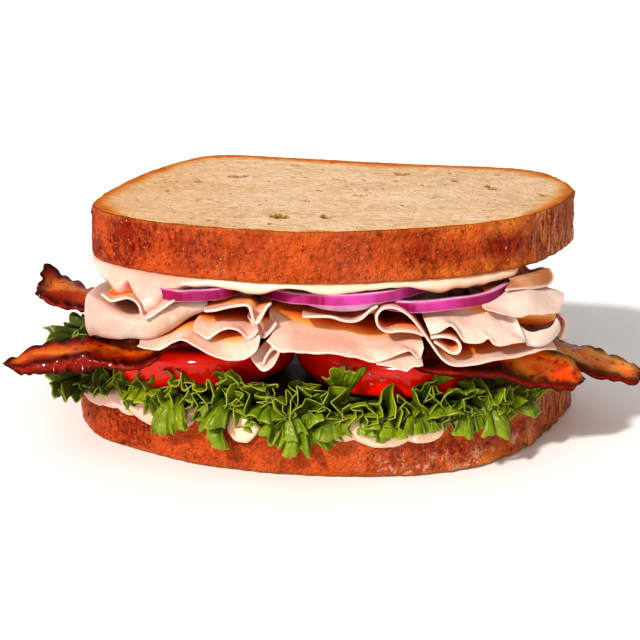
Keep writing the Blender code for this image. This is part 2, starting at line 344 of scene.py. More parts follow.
def mottle(tree, vector, scale, contrast, low, high):
    node = add_node(tree, "ShaderNodeGroup", node_tree=mottle_group())
    tree.links.new(vector, node.inputs["Vector"])
    node.inputs["Scale"].default_value = scale
    node.inputs["Contrast"].default_value = contrast
    for label, colour in (("Low", low), ("High", high)):
        if isinstance(colour, bpy.types.NodeSocket):
            tree.links.new(colour, node.inputs[label])
        else:
            node.inputs[label].default_value = (*colour, 1)
    return node


def speckle(tree, vector, scale, size, share):
    node = add_node(tree, "ShaderNodeGroup", node_tree=speckle_group())
    tree.links.new(vector, node.inputs["Vector"])
    for label, value in (("Scale", scale), ("Size", size), ("Share", share)):
        node.inputs[label].default_value = value
    return node.outputs["Mask"]


def noise_value(tree, vector, scale, detail=3.0, roughness=0.55):
    node = add_node(tree, "ShaderNodeTexNoise", {
        "Vector": vector, "Scale": scale, "Detail": detail, "Roughness": roughness})
    return node.outputs["Fac"]


def stretched(tree, vector, scale):
    return add_node(tree, "ShaderNodeMapping", {"Vector": vector, "Scale": scale}).outputs[0]


def tinted(tree, colour, tint):
    return mix(tree, 1.0, colour, tuple(tint), "MULTIPLY")


def bump(tree, height, distance, strength=1.0):
    node = add_node(tree, "ShaderNodeBump", {"Height": height, "Distance": distance, "Strength": strength})
    return node.outputs["Normal"]


def new_material(name):
    """An empty material, its tree, its shader and its object coordinates."""
    made = bpy.data.materials.new(name)
    made.use_nodes = True
    tree = made.node_tree
    shader = tree.nodes["Principled BSDF"]
    where = tree.nodes.new("ShaderNodeTexCoord").outputs["Object"]
    return made, tree, shader, where


def set_shader(tree, shader, **values):
    """Sets the shader's sockets: a word's underscores stand for spaces."""
    for word, value in values.items():
        socket = shader.inputs[word.replace("_", " ")]
        if isinstance(value, bpy.types.NodeSocket):
            tree.links.new(value, socket)
        elif isinstance(value, tuple) and socket.type == "RGBA":
            socket.default_value = (*value, 1)
        else:
            socket.default_value = value


def bread_material(settings):
    """Wholemeal bread: a pale open crumb, a golden rim and a dark speckled crust, told apart by from_crust."""
    made, tree, shader, where = new_material("bread")
    depth = attribute(tree, "from_crust")
    # crumb
    lengthways = stretched(tree, where, (0.55, 1.2, 1.2))
    crumb = mottle(tree, lengthways, 520, 0.13, (0.60, 0.385, 0.205), (0.78, 0.57, 0.385)).outputs["Color"]
    broad = noise_value(tree, lengthways, 70, 3.0)
    crumb = mix(tree, maths(tree, "MULTIPLY", mask(tree, broad, 0.42, 0.66), 0.6), crumb, (0.82, 0.62, 0.44))
    dull = noise_value(tree, lengthways, 150, 4.0)
    crumb = mix(tree, maths(tree, "MULTIPLY", mask(tree, dull, 0.54, 0.70), 0.35), crumb, (0.62, 0.39, 0.20))
    crumb = mix(tree, speckle(tree, lengthways, 620, 0.26, 0.10), crumb, (0.56, 0.31, 0.13))
    crumb = mix(tree, speckle(tree, where, 420, 0.20, 0.13), crumb, (0.24, 0.07, 0.014))
    crumb = mix(tree, speckle(tree, where, 230, 0.17, 0.09), crumb, (0.44, 0.15, 0.035))
    crumb = mix(tree, speckle(tree, where, 900, 0.20, 0.05), crumb, (0.22, 0.08, 0.02))
    rightward = add_node(tree, "ShaderNodeSeparateXYZ", {"Vector": where}).outputs["X"]
    crumb = mix(tree, maths(tree, "MULTIPLY", mask(tree, rightward, -0.018, -0.058), 0.5), crumb, (0.66, 0.37, 0.17))
    # painted shade: the crumb is darkened inside the holes
    crumb = mix(tree, attribute(tree, "hole"), crumb, (0.27, 0.135, 0.03))
    crumb = tinted(tree, crumb, settings.crumb_tint)
    # crust
    upright = stretched(tree, where, (1, 1, 0.62))
    patch = noise_value(tree, where, 60, 4.0)
    crust = mottle(tree, upright, 900, 0.13, (0.17, 0.011, 0.003), (0.58, 0.115, 0.020)).outputs["Color"]
    crust = mix(tree, maths(tree, "MULTIPLY", mask(tree, patch, 0.46, 0.60), 0.75), crust, (0.72, 0.15, 0.026))
    crust = mix(tree, maths(tree, "MULTIPLY", mask(tree, patch, 0.46, 0.34), 0.65), crust, (0.30, 0.016, 0.0035))
    crust = mix(tree, speckle(tree, upright, 1100, 0.28, 0.30), crust, (0.17, 0.011, 0.003))
    crust = mix(tree, speckle(tree, where, 760, 0.22, 0.20), crust, (0.70, 0.24, 0.07))
    crust = mix(tree, speckle(tree, where, 520, 0.18, 0.08), crust, (0.70, 0.36, 0.16))
    # painted light: the crust is lighter and more orange across the middle
    middle = maths(tree, "MULTIPLY", mask(tree, rightward, -0.050, -0.020), mask(tree, rightward, 0.034, 0.008))
    crust = mix(tree, maths(tree, "MULTIPLY", middle, 0.35), crust, (0.78, 0.21, 0.04))
    end = attribute(tree, "end")
    # painted light: a golden band along the top of the crust, on the right, stands for its lit rounded edge
    painted_rim_light = maths(tree, "MULTIPLY", mask(tree, depth, -6.0, -1.5), mask(tree, rightward, 0.012, 0.040))
    painted_rim_light = maths(tree, "MULTIPLY", painted_rim_light, mask(tree, noise_value(tree, where, 140, 3.0), 0.30, 0.60))
    crust = mix(tree, maths(tree, "MULTIPLY", painted_rim_light, 0.9), crust, (1.0, 0.36, 0.04))
    grooves = noise_value(tree, stretched(tree, where, (1, 1, 0.16)), 900, 3.0, 0.6)
    dusty = mask(tree, noise_value(tree, where, 240, 6.0, 0.7), 0.50, 0.62)
    dusty = maths(tree, "MULTIPLY", dusty, mask(tree, noise_value(tree, where, 1300, 2.0), 0.42, 0.58))
    flour = maths(tree, "MULTIPLY", dusty, attribute(tree, "flour"))
    crust = mix(tree, flour, crust, (0.86, 0.60, 0.36))
    edge = maths(tree, "MULTIPLY", mask(tree, depth, -1.7, -0.4), mask(tree, noise_value(tree, where, 260), 0.35, 0.6))
    crust = mix(tree, maths(tree, "MULTIPLY", edge, 0.75), crust, (0.56, 0.20, 0.045))
    crust = tinted(tree, crust, settings.crust_tint)
    worn = mix(tree, mask(tree, grooves, 0.40, 0.58), (0.25, 0.045, 0.013), (0.68, 0.28, 0.12))
    brown_tone_and_shadow = mask(tree, noise_value(tree, where, 85, 3.0), 0.44, 0.60)
    worn = mix(tree, maths(tree, "MULTIPLY", brown_tone_and_shadow, 0.6), worn, (0.36, 0.075, 0.016))
    crust = mix(tree, maths(tree, "MULTIPLY", end, 0.9), crust, worn)
    # rim, between the two
    wobble = maths(tree, "MULTIPLY", noise_value(tree, where, 130, 4.0), 4.0)
    inside = maths(tree, "SUBTRACT", depth, wobble)
    width = attribute(tree, "rim")
    share = mask(tree, maths(tree, "DIVIDE", maths(tree, "ADD", inside, 2.6), width), 0.0, 1.0)
    dark_gold = ramp(tree, share, ((0.0, (0.42, 0.10, 0.016)), (0.5, (0.60, 0.23, 0.045)), (1.0, (0.70, 0.39, 0.14))))
    light_gold = ramp(tree, share, ((0.0, (0.66, 0.24, 0.045)), (0.5, (0.72, 0.35, 0.10)), (1.0, (0.76, 0.47, 0.20))))
    golden = mix(tree, mask(tree, width, 2.5, 8.0), light_gold, dark_gold)
    face = mix(tree, mask(tree, share, 0.35, 1.0), golden, crumb)
    is_crumb = mask(tree, depth, -0.1, 0.35)
    colour = mix(tree, is_crumb, crust, face)
    roughness = maths(tree, "ADD", 0.46, maths(tree, "MULTIPLY", is_crumb, 0.34))
    pits = speckle(tree, lengthways, 620, 0.26, 0.16)
    fine = maths(tree, "ADD", noise_value(tree, where, 1500), maths(tree, "MULTIPLY", noise_value(tree, where, 560), 1.6))
    fine = maths(tree, "ADD", fine, maths(tree, "MULTIPLY", maths(tree, "MULTIPLY", grooves, end), 2.0))
    fine = maths(tree, "MULTIPLY", fine, maths(tree, "SUBTRACT", 1.0, maths(tree, "MULTIPLY", is_crumb, 0.6)))
    height = maths(tree, "SUBTRACT", fine, maths(tree, "MULTIPLY", pits, 0.5))
    glossy = maths(tree, "MULTIPLY", mask(tree, noise_value(tree, where, 48, 4.0), 0.50, 0.64), 0.4)
    glossy = maths(tree, "MULTIPLY", glossy, maths(tree, "SUBTRACT", 1.0, is_crumb))
    set_shader(tree, shader, Base_Color=colour, Roughness=roughness, Normal=bump(tree, height, 0.0008, 1.0),
               Specular_IOR_Level=0.12, Coat_Weight=glossy, Coat_Roughness=0.25)
    return made


def spread_material(settings):
    made, tree, shader, where = new_material("mayonnaise")
    colour = mottle(tree, where, 120, 0.2, (0.90, 0.70, 0.48), (0.96, 0.82, 0.65)).outputs["Color"]
    height = noise_value(tree, where, 350, 2.0)
    rightward = add_node(tree, "ShaderNodeSeparateXYZ", {"Vector": where}).outputs["X"]
    # painted shade: the spread is darker and duller towards its left end
    colour = mix(tree, mask(tree, rightward, -0.024, -0.040), colour, tinted(tree, colour, (0.86, 0.76, 0.84)))
    colour = tinted(tree, colour, settings.mayonnaise_tint)
    set_shader(tree, shader, Base_Color=colour, Roughness=0.28, Normal=bump(tree, height, 0.0002, 0.5),
               Subsurface_Weight=0.25, Subsurface_Scale=0.004, Coat_Weight=0.15, Coat_Roughness=0.2)
    shader.inputs["Subsurface Radius"].default_value = (1.0, 0.7, 0.4)
    return made


def lettuce_material(settings):
    """Leaf green, paler in its veins and along its crisp free edge, with painted shade darkening its heart under the
    tomatoes and its left end under the bacon.
    """
    made, tree, shader, where = new_material("lettuce")
    out = attribute(tree, "outward")
    vein = attribute(tree, "vein")
    leaf = mottle(tree, where, 240, 0.18, (0.026, 0.066, 0.003), (0.13, 0.22, 0.007)).outputs["Color"]
    leaf = mix(tree, mask(tree, noise_value(tree, where, 95), 0.42, 0.66), leaf, (0.23, 0.32, 0.010))
    leaf = mix(tree, maths(tree, "MULTIPLY", mask(tree, out, 0.45, 0.9), 0.5), leaf, (0.25, 0.34, 0.010))
    # painted shade: the heart of the leaf, which lies under the tomatoes, is dark
    shaded_heart = mix(tree, mask(tree, out, 0.0, 0.35), (0.09, 0.13, 0.015), leaf)
    shaded_heart = mix(tree, maths(tree, "MULTIPLY", vein, 0.5), shaded_heart, (0.22, 0.30, 0.04))
    rightward = add_node(tree, "ShaderNodeSeparateXYZ", {"Vector": where}).outputs["X"]
    shaded = maths(tree, "MULTIPLY", mask(tree, rightward, -0.058, -0.070), 0.75)
    shaded_heart = mix(tree, shaded, shaded_heart, (0.022, 0.034, 0.003))
    rim = mask(tree, out, 0.965, 0.995)
    colour = mix(tree, maths(tree, "MULTIPLY", rim, 0.8), shaded_heart, (0.32, 0.37, 0.07))
    crinkle = maths(tree, "ADD", noise_value(tree, where, 420, 3.0), maths(tree, "MULTIPLY", vein, 0.6))
    colour = tinted(tree, colour, settings.lettuce_tint)
    set_shader(tree, shader, Base_Color=colour, Roughness=0.38, Normal=bump(tree, crinkle, 0.0008, 0.8),
               Subsurface_Weight=0.12, Subsurface_Scale=0.003, Specular_IOR_Level=0.45)
    shader.inputs["Subsurface Radius"].default_value = (0.6, 1.0, 0.15)
    return made


def tomato_material(settings):
    """Ripe tomato: smooth skin round the rim, wet paler flesh on the cut faces."""
    made, tree, shader, where = new_material("tomato")
    cut = attribute(tree, "cut_face")
    skin = mottle(tree, where, 150, 0.25, (0.88, 0.012, 0.004), (0.98, 0.035, 0.008)).outputs["Color"]
    skin = mix(tree, speckle(tree, where, 900, 0.12, 0.25), skin, (0.75, 0.14, 0.03))
    flesh = mottle(tree, where, 180, 0.2, (0.56, 0.008, 0.003), (0.70, 0.030, 0.010)).outputs["Color"]
    flesh = mix(tree, speckle(tree, where, 220, 0.22, 0.2), flesh, (0.78, 0.16, 0.05))
    colour = mix(tree, mask(tree, cut, 0.35, 0.75), skin, flesh)
    height = noise_value(tree, where, 300, 2.0)
    colour = tinted(tree, colour, settings.tomato_tint)
    set_shader(tree, shader, Base_Color=colour, Roughness=0.12, Normal=bump(tree, height, 0.0002, 0.4),
               Coat_Weight=0.5, Coat_Roughness=0.03, Subsurface_Weight=0.2, Subsurface_Scale=0.004,
               Specular_IOR_Level=0.25)
    shader.inputs["Subsurface Radius"].default_value = (1.0, 0.15, 0.05)
    return made


def bands_warmth(tree, moved):
    """Where a strip of bacon is mostly fat."""
    return ramp(tree, moved, ((0.0, (0, 0, 0)), (0.2, (0, 0, 0)), (0.34, (1, 1, 1)), (0.48, (1, 1, 1)),
                              (0.58, (0, 0, 0)), (1.0, (0, 0, 0))))


def bacon_material(settings):
    """Streaky bacon: lean and fat in bands along the strip, dark and crisp at its edges and along its crease."""
    made, tree, shader, where = new_material("bacon")
    across = attribute(tree, "across")
    crisp = attribute(tree, "crisp")
    wander = noise_value(tree, stretched(tree, where, (1, 0.5, 1)), 55, 2.0)
    moved = maths(tree, "ADD", across, maths(tree, "MULTIPLY", maths(tree, "SUBTRACT", wander, 0.5), 0.30))
    bands = ramp(tree, moved, (
        (0.0, (0.07, 0.004, 0.002)), (0.10, (0.26, 0.014, 0.003)), (0.20, (0.52, 0.090, 0.008)),
        (0.34, (0.66, 0.21, 0.024)), (0.48, (0.60, 0.14, 0.012)), (0.57, (0.24, 0.014, 0.003)),
        (0.66, (0.08, 0.005, 0.002)), (0.75, (0.18, 0.004, 0.002)), (0.86, (0.24, 0.008, 0.003)),
        (1.0, (0.12, 0.005, 0.002))))
    lean = mask(tree, noise_value(tree, stretched(tree, where, (0.5, 1, 1)), 90, 3.0), 0.46, 0.60)
    colour = mix(tree, maths(tree, "MULTIPLY", lean, 0.75), bands, (0.26, 0.010, 0.003))
    place = add_node(tree, "ShaderNodeSeparateXYZ", {"Vector": where}).outputs
    along, back = place["X"], mask(tree, place["Y"], -0.034, -0.030)
    shadowed = maths(tree, "MULTIPLY", back, maths(tree, "MULTIPLY", mask(tree, along, 0.072, 0.060), mask(tree, along, 0.0, 0.03)))
    colour = mix(tree, maths(tree, "MULTIPLY", shadowed, 0.8), colour, (0.15, 0.008, 0.003))
    beyond = maths(tree, "SUBTRACT", along, maths(tree, "MULTIPLY", back, 0.017))
    fatty = maths(tree, "MULTIPLY", mask(tree, beyond, 0.046, 0.058), mask(tree, across, 0.75, 0.62))
    streaky = mask(tree, noise_value(tree, stretched(tree, where, (0.5, 1, 1)), 110, 3.0), 0.38, 0.60)
    amber = mix(tree, streaky, (0.80, 0.10, 0.012), (1.0, 0.55, 0.10))
    colour = mix(tree, maths(tree, "MULTIPLY", fatty, 0.95), colour, amber)
    # paler amber patches in the fat bands: partly paler fat, partly painted sheen
    shine = mask(tree, noise_value(tree, stretched(tree, where, (0.4, 1, 1)), 130, 2.0), 0.52, 0.66)
    pale_fat_and_sheen = maths(tree, "MULTIPLY", shine, mask(tree, bands_warmth(tree, moved), 0.2, 0.8))
    colour = mix(tree, maths(tree, "MULTIPLY", pale_fat_and_sheen, 0.4), colour, (0.84, 0.38, 0.08))
    fibres = noise_value(tree, stretched(tree, where, (0.22, 1, 1)), 620, 4.0, 0.65)
    colour = mix(tree, mask(tree, fibres, 0.40, 0.75), colour, mix(tree, 0.2, colour, (0.80, 0.18, 0.03)))
    colour = mix(tree, mask(tree, noise_value(tree, where, 420, 3.0), 0.58, 0.72), colour, (0.16, 0.008, 0.004))
    charred = maths(tree, "MULTIPLY", crisp, mask(tree, noise_value(tree, where, 190, 4.0), 0.22, 0.46))
    colour = mix(tree, charred, colour, (0.050, 0.004, 0.002))
    height = maths(tree, "ADD", noise_value(tree, where, 380, 4.0), maths(tree, "MULTIPLY", fibres, 0.5))
    colour = tinted(tree, colour, settings.bacon_tint)
    set_shader(tree, shader, Base_Color=colour, Roughness=0.24, Normal=bump(tree, height, 0.0009, 0.8),
               Coat_Weight=0.16, Coat_Roughness=0.05, Specular_IOR_Level=0.08)
    return made


def turkey_material(settings):
    """Cooked turkey breast: pale and moist, with painted shade, warmer and darker, where one slice shades the next,
    painted shadow of the top slice on one sheet, painted light on the right and painted shade on the left.
    """
    made, tree, shader, where = new_material("turkey")
    inward = attribute(tree, "inward")
    fold_shade = attribute(tree, "fold_shade")
    face = mottle(tree, where, 80, 0.2, (0.70, 0.44, 0.31), (0.76, 0.58, 0.46)).outputs["Color"]
    face = mix(tree, mask(tree, noise_value(tree, where, 210, 4.0), 0.5, 0.8), face, (0.80, 0.65, 0.54))
    face = mix(tree, mask(tree, noise_value(tree, stretched(tree, where, (1, 3, 3)), 40), 0.50, 0.75), face,
               (0.74, 0.42, 0.32))
    rightward = add_node(tree, "ShaderNodeSeparateXYZ", {"Vector": where}).outputs["X"]
    # painted light: the right side of the turkey is lighter
    face = mix(tree, maths(tree, "MULTIPLY", mask(tree, rightward, 0.012, 0.045), 0.55), face, (0.86, 0.68, 0.58))
    # painted shade: the left side of the turkey is darker
    face = mix(tree, maths(tree, "MULTIPLY", mask(tree, rightward, -0.040, -0.056), 0.60), face, (0.56, 0.40, 0.33))
    # painted shade: orange, then dark brown, deeper in the folds where one slice shades the next
    deep = ramp(tree, fold_shade, ((0.0, (0.84, 0.50, 0.28)), (0.3, (0.98, 0.46, 0.14)), (0.65, (0.92, 0.27, 0.05)),
                               (1.0, (0.58, 0.11, 0.020))))
    body = mix(tree, mask(tree, fold_shade, 0.0, 0.18), face, deep)
    # painted shadow: tan where the top slice shades a sheet of turkey
    tan = mix(tree, mask(tree, noise_value(tree, where, 120, 2.0), 0.40, 0.62), (0.44, 0.20, 0.09), (0.66, 0.38, 0.22))
    body = mix(tree, attribute(tree, "brown_tone_and_shadow"), body, tan)
    colour = mix(tree, mask(tree, inward, 0.25, 1.0), (0.76, 0.57, 0.48), body)
    height = maths(tree, "ADD", noise_value(tree, where, 700, 3.0),
                   maths(tree, "MULTIPLY", noise_value(tree, where, 150, 2.0), 1.4))
    colour = tinted(tree, colour, settings.turkey_tint)
    set_shader(tree, shader, Base_Color=colour, Roughness=0.42, Normal=bump(tree, height, 0.0004, 0.5),
               Subsurface_Weight=0.45, Subsurface_Scale=0.003, Specular_IOR_Level=0.25)
    shader.inputs["Subsurface Radius"].default_value = (1.0, 0.35, 0.12)
    return made


def onion_material(settings):
    """Red onion: magenta skin with lighter streaks, and pale flesh that is pink near the skin."""
    made, tree, shader, where = new_material("red_onion")
    uv = add_node(tree, "ShaderNodeUVMap", uv_map="UVMap").outputs["UV"]
    skin = attribute(tree, "skin")
    height_share = attribute(tree, "height")
    streak = noise_value(tree, stretched(tree, uv, (70, 0.5, 1)), 1.0, 4.0, 0.7)
    broad = noise_value(tree, stretched(tree, uv, (11, 0.3, 1)), 1.0, 2.0)
    purple = mix(tree, mask(tree, streak, 0.42, 0.68), (0.28, 0.004, 0.07), (0.46, 0.03, 0.19))
    purple = mix(tree, mask(tree, broad, 0.45, 0.62), purple, (0.62, 0.11, 0.36))
    purple = mix(tree, mask(tree, height_share, 0.86, 0.99), purple, (0.80, 0.34, 0.50))
    purple = mix(tree, mask(tree, height_share, 0.16, 0.03), purple, (0.84, 0.48, 0.58))
    rightward = add_node(tree, "ShaderNodeSeparateXYZ", {"Vector": where}).outputs["X"]
    outer = maths(tree, "MAXIMUM", mask(tree, rightward, -0.022, -0.032), mask(tree, rightward, 0.026, 0.038))
    purple = mix(tree, maths(tree, "MULTIPLY", outer, 0.65), purple, (0.30, 0.0015, 0.05))
    flesh = mix(tree, mask(tree, noise_value(tree, where, 160), 0.4, 0.6), (0.84, 0.70, 0.68), (0.76, 0.48, 0.56))
    colour = mix(tree, skin, flesh, purple)
    colour = tinted(tree, colour, settings.onion_tint)
    set_shader(tree, shader, Base_Color=colour, Roughness=0.28, Specular_IOR_Level=0.3,
               Subsurface_Weight=0.15, Subsurface_Scale=0.003,
               Normal=bump(tree, streak, 0.0002, 0.5))
    shader.inputs["Subsurface Radius"].default_value = (1.0, 0.3, 0.6)
    return made


def water_material():
    made, tree, shader, where = new_material("droplet")
    tint = mottle(tree, where, 900, 0.3, (0.95, 0.55, 0.5), (1.0, 0.85, 0.8)).outputs["Color"]
    set_shader(tree, shader, Base_Color=tint, Roughness=0.03, Transmission_Weight=0.85, IOR=1.33)
    return made


# Bread


def square_share(x, y):
    """How far round the unit square, from its front left corner, the direction (x, y) points."""
    reach = max(abs(x), abs(y), 1e-9)
    a, b = x / reach, y / reach
    if b <= -1 + 1e-6:
        return (a + 1) / 8
    if a >= 1 - 1e-6:
        return 0.25 + (b + 1) / 8
    if b >= 1 - 1e-6:
        return 0.5 + (1 - a) / 8
    return 0.75 + (1 - b) / 8


def slice_block(cuts):
    """A cube from -1 to 1 cut into a grid, with cuts in each direction."""
    bm = bmesh.new()
    bmesh.ops.create_cube(bm, size=2)
    for axis, count in enumerate(cuts):
        across = [e for e in bm.edges if abs(e.verts[0].co[axis] - e.verts[1].co[axis]) > 1e-4]
        bmesh.ops.subdivide_edges(bm, edges=across, cuts=count, use_grid_fill=True)
    return bm


def crumb_relief(point, holes):
    """How far a cut face sinks at a point, in millimetres, and whether it is in a hole."""
    sunk = 0.30 * (ripple(point, 34) + 0.4 * ripple(point, 11)) + 0.08 * ripple((point.x * 0.6, point.y, 0), 4)
    pore = max(0.0, ripple((point.x * 0.6, point.y * 1.2, point.z), 2.1) - 0.2)
    sunk += 0.55 * pore + 0.06 * ripple(point, 1.3, 7.0)
    deep = 0.0
    for x, y, long, wide, turn in holes:
        c, s = math.cos(turn), math.sin(turn)
        along = ((point.x - x) * c + (point.y - y) * s) / long
        aside = ((point.y - y) * c - (point.x - x) * s) / wide
        ragged = 1 + 0.35 * ripple(point, 1.6, 3.0)
        deep = max(deep, 1 - math.hypot(along, aside) * ragged)
    return sunk + 1.6 * smooth_step(deep * 2.5), smooth_step(deep * 6)


def crust_relief(point, turn, depth):
    """How far the crust stands out at a point, in millimetres."""
    out = 0.55 * ripple(point, 22) + 0.32 * ripple(point, 6.5, 2.0)
    out += 0.30 * ripple(point, 2.6, 5.0) + 0.24 * ripple(point, 1.4, 9.0)
    worn = smooth_step((point.x - 48) / 10)
    ragged = smooth_step((point.y - 20) / 12)
    out += 0.45 * ragged * (abs(ripple(point, 2.4, 12.0)) + abs(ripple(point, 5.0, 13.0)))
    out += worn * (0.55 * ripple((point.x, point.y, point.z * 0.3), 1.7, 3.0) - 0.35 * ripple(point, 3.5, 8.0))
    seam = math.sin(turn * 2 * math.pi * 9 + 3 * ripple(point, 30, 4.0))
    out -= 0.5 * max(0.0, seam - 0.93) / 0.07 * smooth_step(depth / 3)
    return out


def bread_slice(name, points, cuts, holes, place, material, rounding, flour):
    count = 2 * (cuts[0] + cuts[1]) * 2
    outline = curve_through(points, count, closed=True)
    outline.append(outline[0])
    bm = slice_block(cuts)
    marks = {mark: bm.verts.layers.float.new(mark) for mark in ("from_crust", "hole", "flour", "end", "rim")}
    half = SLICE_THICK / 2
    for vert in bm.verts:
        x, y, z = vert.co
        share = max(abs(x), abs(y))
        turn = square_share(x, y)
        rim = between(outline, turn)
        flat = rim * share
        outward = Vector((rim.x, rim.y, 0)).normalized()
        inside = rim.length * (1 - share)
        level = z * half
        left_back = smooth_step((-rim.x - 25) / 30) * smooth_step((rim.y + 42) / 14)
        back = smooth_step((rim.y - 5) / 20) * smooth_step((rim.x + 50) / 20)
        right = smooth_step((rim.x - 48) / 16)
        vert[marks["rim"]] = 2.0 + 6.1 * left_back + max(9.5 * back, 5.5 * right)
        vert[marks["end"]] = smooth_step((rim.x - 50 + 5 * ripple((rim.x, rim.y, level), 7)) / 9)
        below = half - abs(level)
        if abs(z) > 1 - 1e-6:
            bend = math.pi / 4 * max(0.0, 1 - inside / rounding)
            drop = rounding * (1 - math.cos(bend))
            slide = min(inside, rounding) - (rounding - rounding * math.sin(bend))
            point = Vector((flat.x, flat.y, level)) + outward * (slide if inside < rounding else 0)
            point.z -= math.copysign(drop, z)
            sunk, hole = crumb_relief(point, holes if z > 0 else ())
            settle = smooth_step(inside / 2.5)
            point.z -= math.copysign(sunk * settle, z)
            vert[marks["from_crust"]] = inside + 0.9 * ripple(point, 5) * smooth_step(inside)
            vert[marks["hole"]] = hole * settle
        else:
            bend = math.pi / 4 * (1 + min(1.0, below / rounding))
            point = Vector((rim.x, rim.y, level)) - outward * rounding * (1 - math.sin(bend))
            if below < rounding:
                point.z = math.copysign(half - rounding * (1 - math.cos(bend)), level)
            vert[marks["from_crust"]] = -(half - level if z > 0 else below)
            vert[marks["flour"]] = flour(point)
            frayed = vert[marks["end"]] * smooth_step(1 - below / 2) * smooth_step(-level)
            point.z += 2.6 * frayed * abs(ripple((point.x * 1.5, point.y * 1.5, 0), 1.9))
        if inside < 2.5:
            depth = below if abs(z) < 1 - 1e-6 else 0.0
            point += outward * crust_relief(point, turn, depth) * smooth_step(1 - inside / 2.5)
        vert.co = point
    bmesh.ops.recalc_face_normals(bm, faces=bm.faces)
    lift = Matrix.Translation((0, 0, half))
    return finish_piece(name, bm, material, "crust", name, place=(place or Matrix.Identity(4)) @ lift)


# Spreads


def turned_spread(columns, rows, shape):
    """A closed form turned round the middle: shape(turn, j) gives its place at row j of its profile."""
    bm = sheet(columns + 1, rows, lambda i, j: shape((i % columns) / columns, j))
    return joined_up(bm)


# (x, half width, how far it hangs) of the lobes that run over the front edge of the bottom slice
BOTTOM_LOBES = (
    (-66, 5, 2.6), (-61, 4, 1.6), (-55.5, 4.5, 2.2), (-47.5, 6.5, 3.8), (-40, 3.5, 2.4), (-23, 4.6, 3.9),
    (-31, 3, 1.0), (3.5, 5, 1.8), (14.5, 9, 3.7), (25, 6.5, 2.8), (36, 3, 1.0), (44, 3.5, 1.2),
)
# (x, how far the spread under the top slice hangs there, how far it runs forward over the turkey)
TOP_HANG = (
    (-66, 2.0, 0), (-61, 5.0, 1.5), (-57, 7.2, 4), (-54, 4.0, 1.5), (-51.5, 6.5, 5), (-49.5, 9.6, 9),
    (-47, 7.6, 7.5), (-43, 4.0, 4), (-38, 2.6, 1.5), (-30, 2.4, 0), (-20, 3.6, 0), (-10, 1.4, 0), (0, 3.2, 0),
    (10, 2.4, 0), (20, 1.8, 0), (30, 3.9, 0), (40, 3.2, 0), (50, 2.4, 0), (60, 0.8, 0),
)


def spread_on_bottom(material):
    columns = 460
    outline = curve_through(BOTTOM_OUTLINE, columns, closed=True)
    outline.append(outline[0])
    floor = SLICE_THICK
    # (out from the rim, up from the slice, how much it hangs with a lobe)
    profile = ((-7, 2.0, 0), (-4.4, 2.3, 0), (-2.6, 2.5, 0), (-1.2, 2.4, 0), (-0.2, 1.9, 0.02), (0.6, 1.0, 0.12),
               (1.05, -0.2, 0.4), (1.2, -0.9, 0.75), (1.05, -1.3, 1.0), (0.5, -1.5, 1.05), (0.0, -1.2, 0.95),
               (-0.6, -0.8, 0.5), (-1.2, -0.3, 0.0), (-3, -0.2, 0))
    flats = ((0.0, 1.8), (0.6, 1.8))
    rows = len(profile) + 2 * len(flats)

    def shape(turn, j):
        edge = between(outline, turn)
        if j < len(flats):
            share, height = flats[j]
            return Vector((edge.x * share, edge.y * share, floor + height))
        if j >= rows - len(flats):
            share = flats[rows - 1 - j][0]
            return Vector((edge.x * share, edge.y * share, floor))
        out, up, hangs = profile[j - len(flats)]
        wobble = ripple((edge.x, edge.y, 0), 6.5)
        hang, push = 0.0, -1.5 + 0.8 * wobble
        if edge.y < 6:
            for x, half, deep in BOTTOM_LOBES:
                lobe = smooth_step(1.25 - abs(edge.x - x + 0.8 * wobble) / half)
                hang = max(hang, deep * lobe)
        else:
            hang = max(0.0, 2.2 * ripple((edge.x, edge.y, 0), 11, 3.0))
        push += 1.9 * smooth_step(hang / 1.2)
        outward = Vector((edge.x, edge.y, 0)).normalized()
        point = Vector((edge.x, edge.y, 0)) + outward * (push + out * (0.55 + 0.45 * smooth_step(hang / 2)))
        covers = smooth_step(hang / 0.8)
        fall = up * (covers if up < 0 else 1) - hang * hangs
        if out > -1.3 and not covers:
            fall = max(fall, 0.0)
        point.z = floor + fall + 0.15 * ripple(point, 3)
        return point

    bm = turned_spread(columns, rows, shape)
    piece = finish_piece("mayonnaise_bottom", bm, material, "mayonnaise", "mayonnaise_bottom")
    return piece


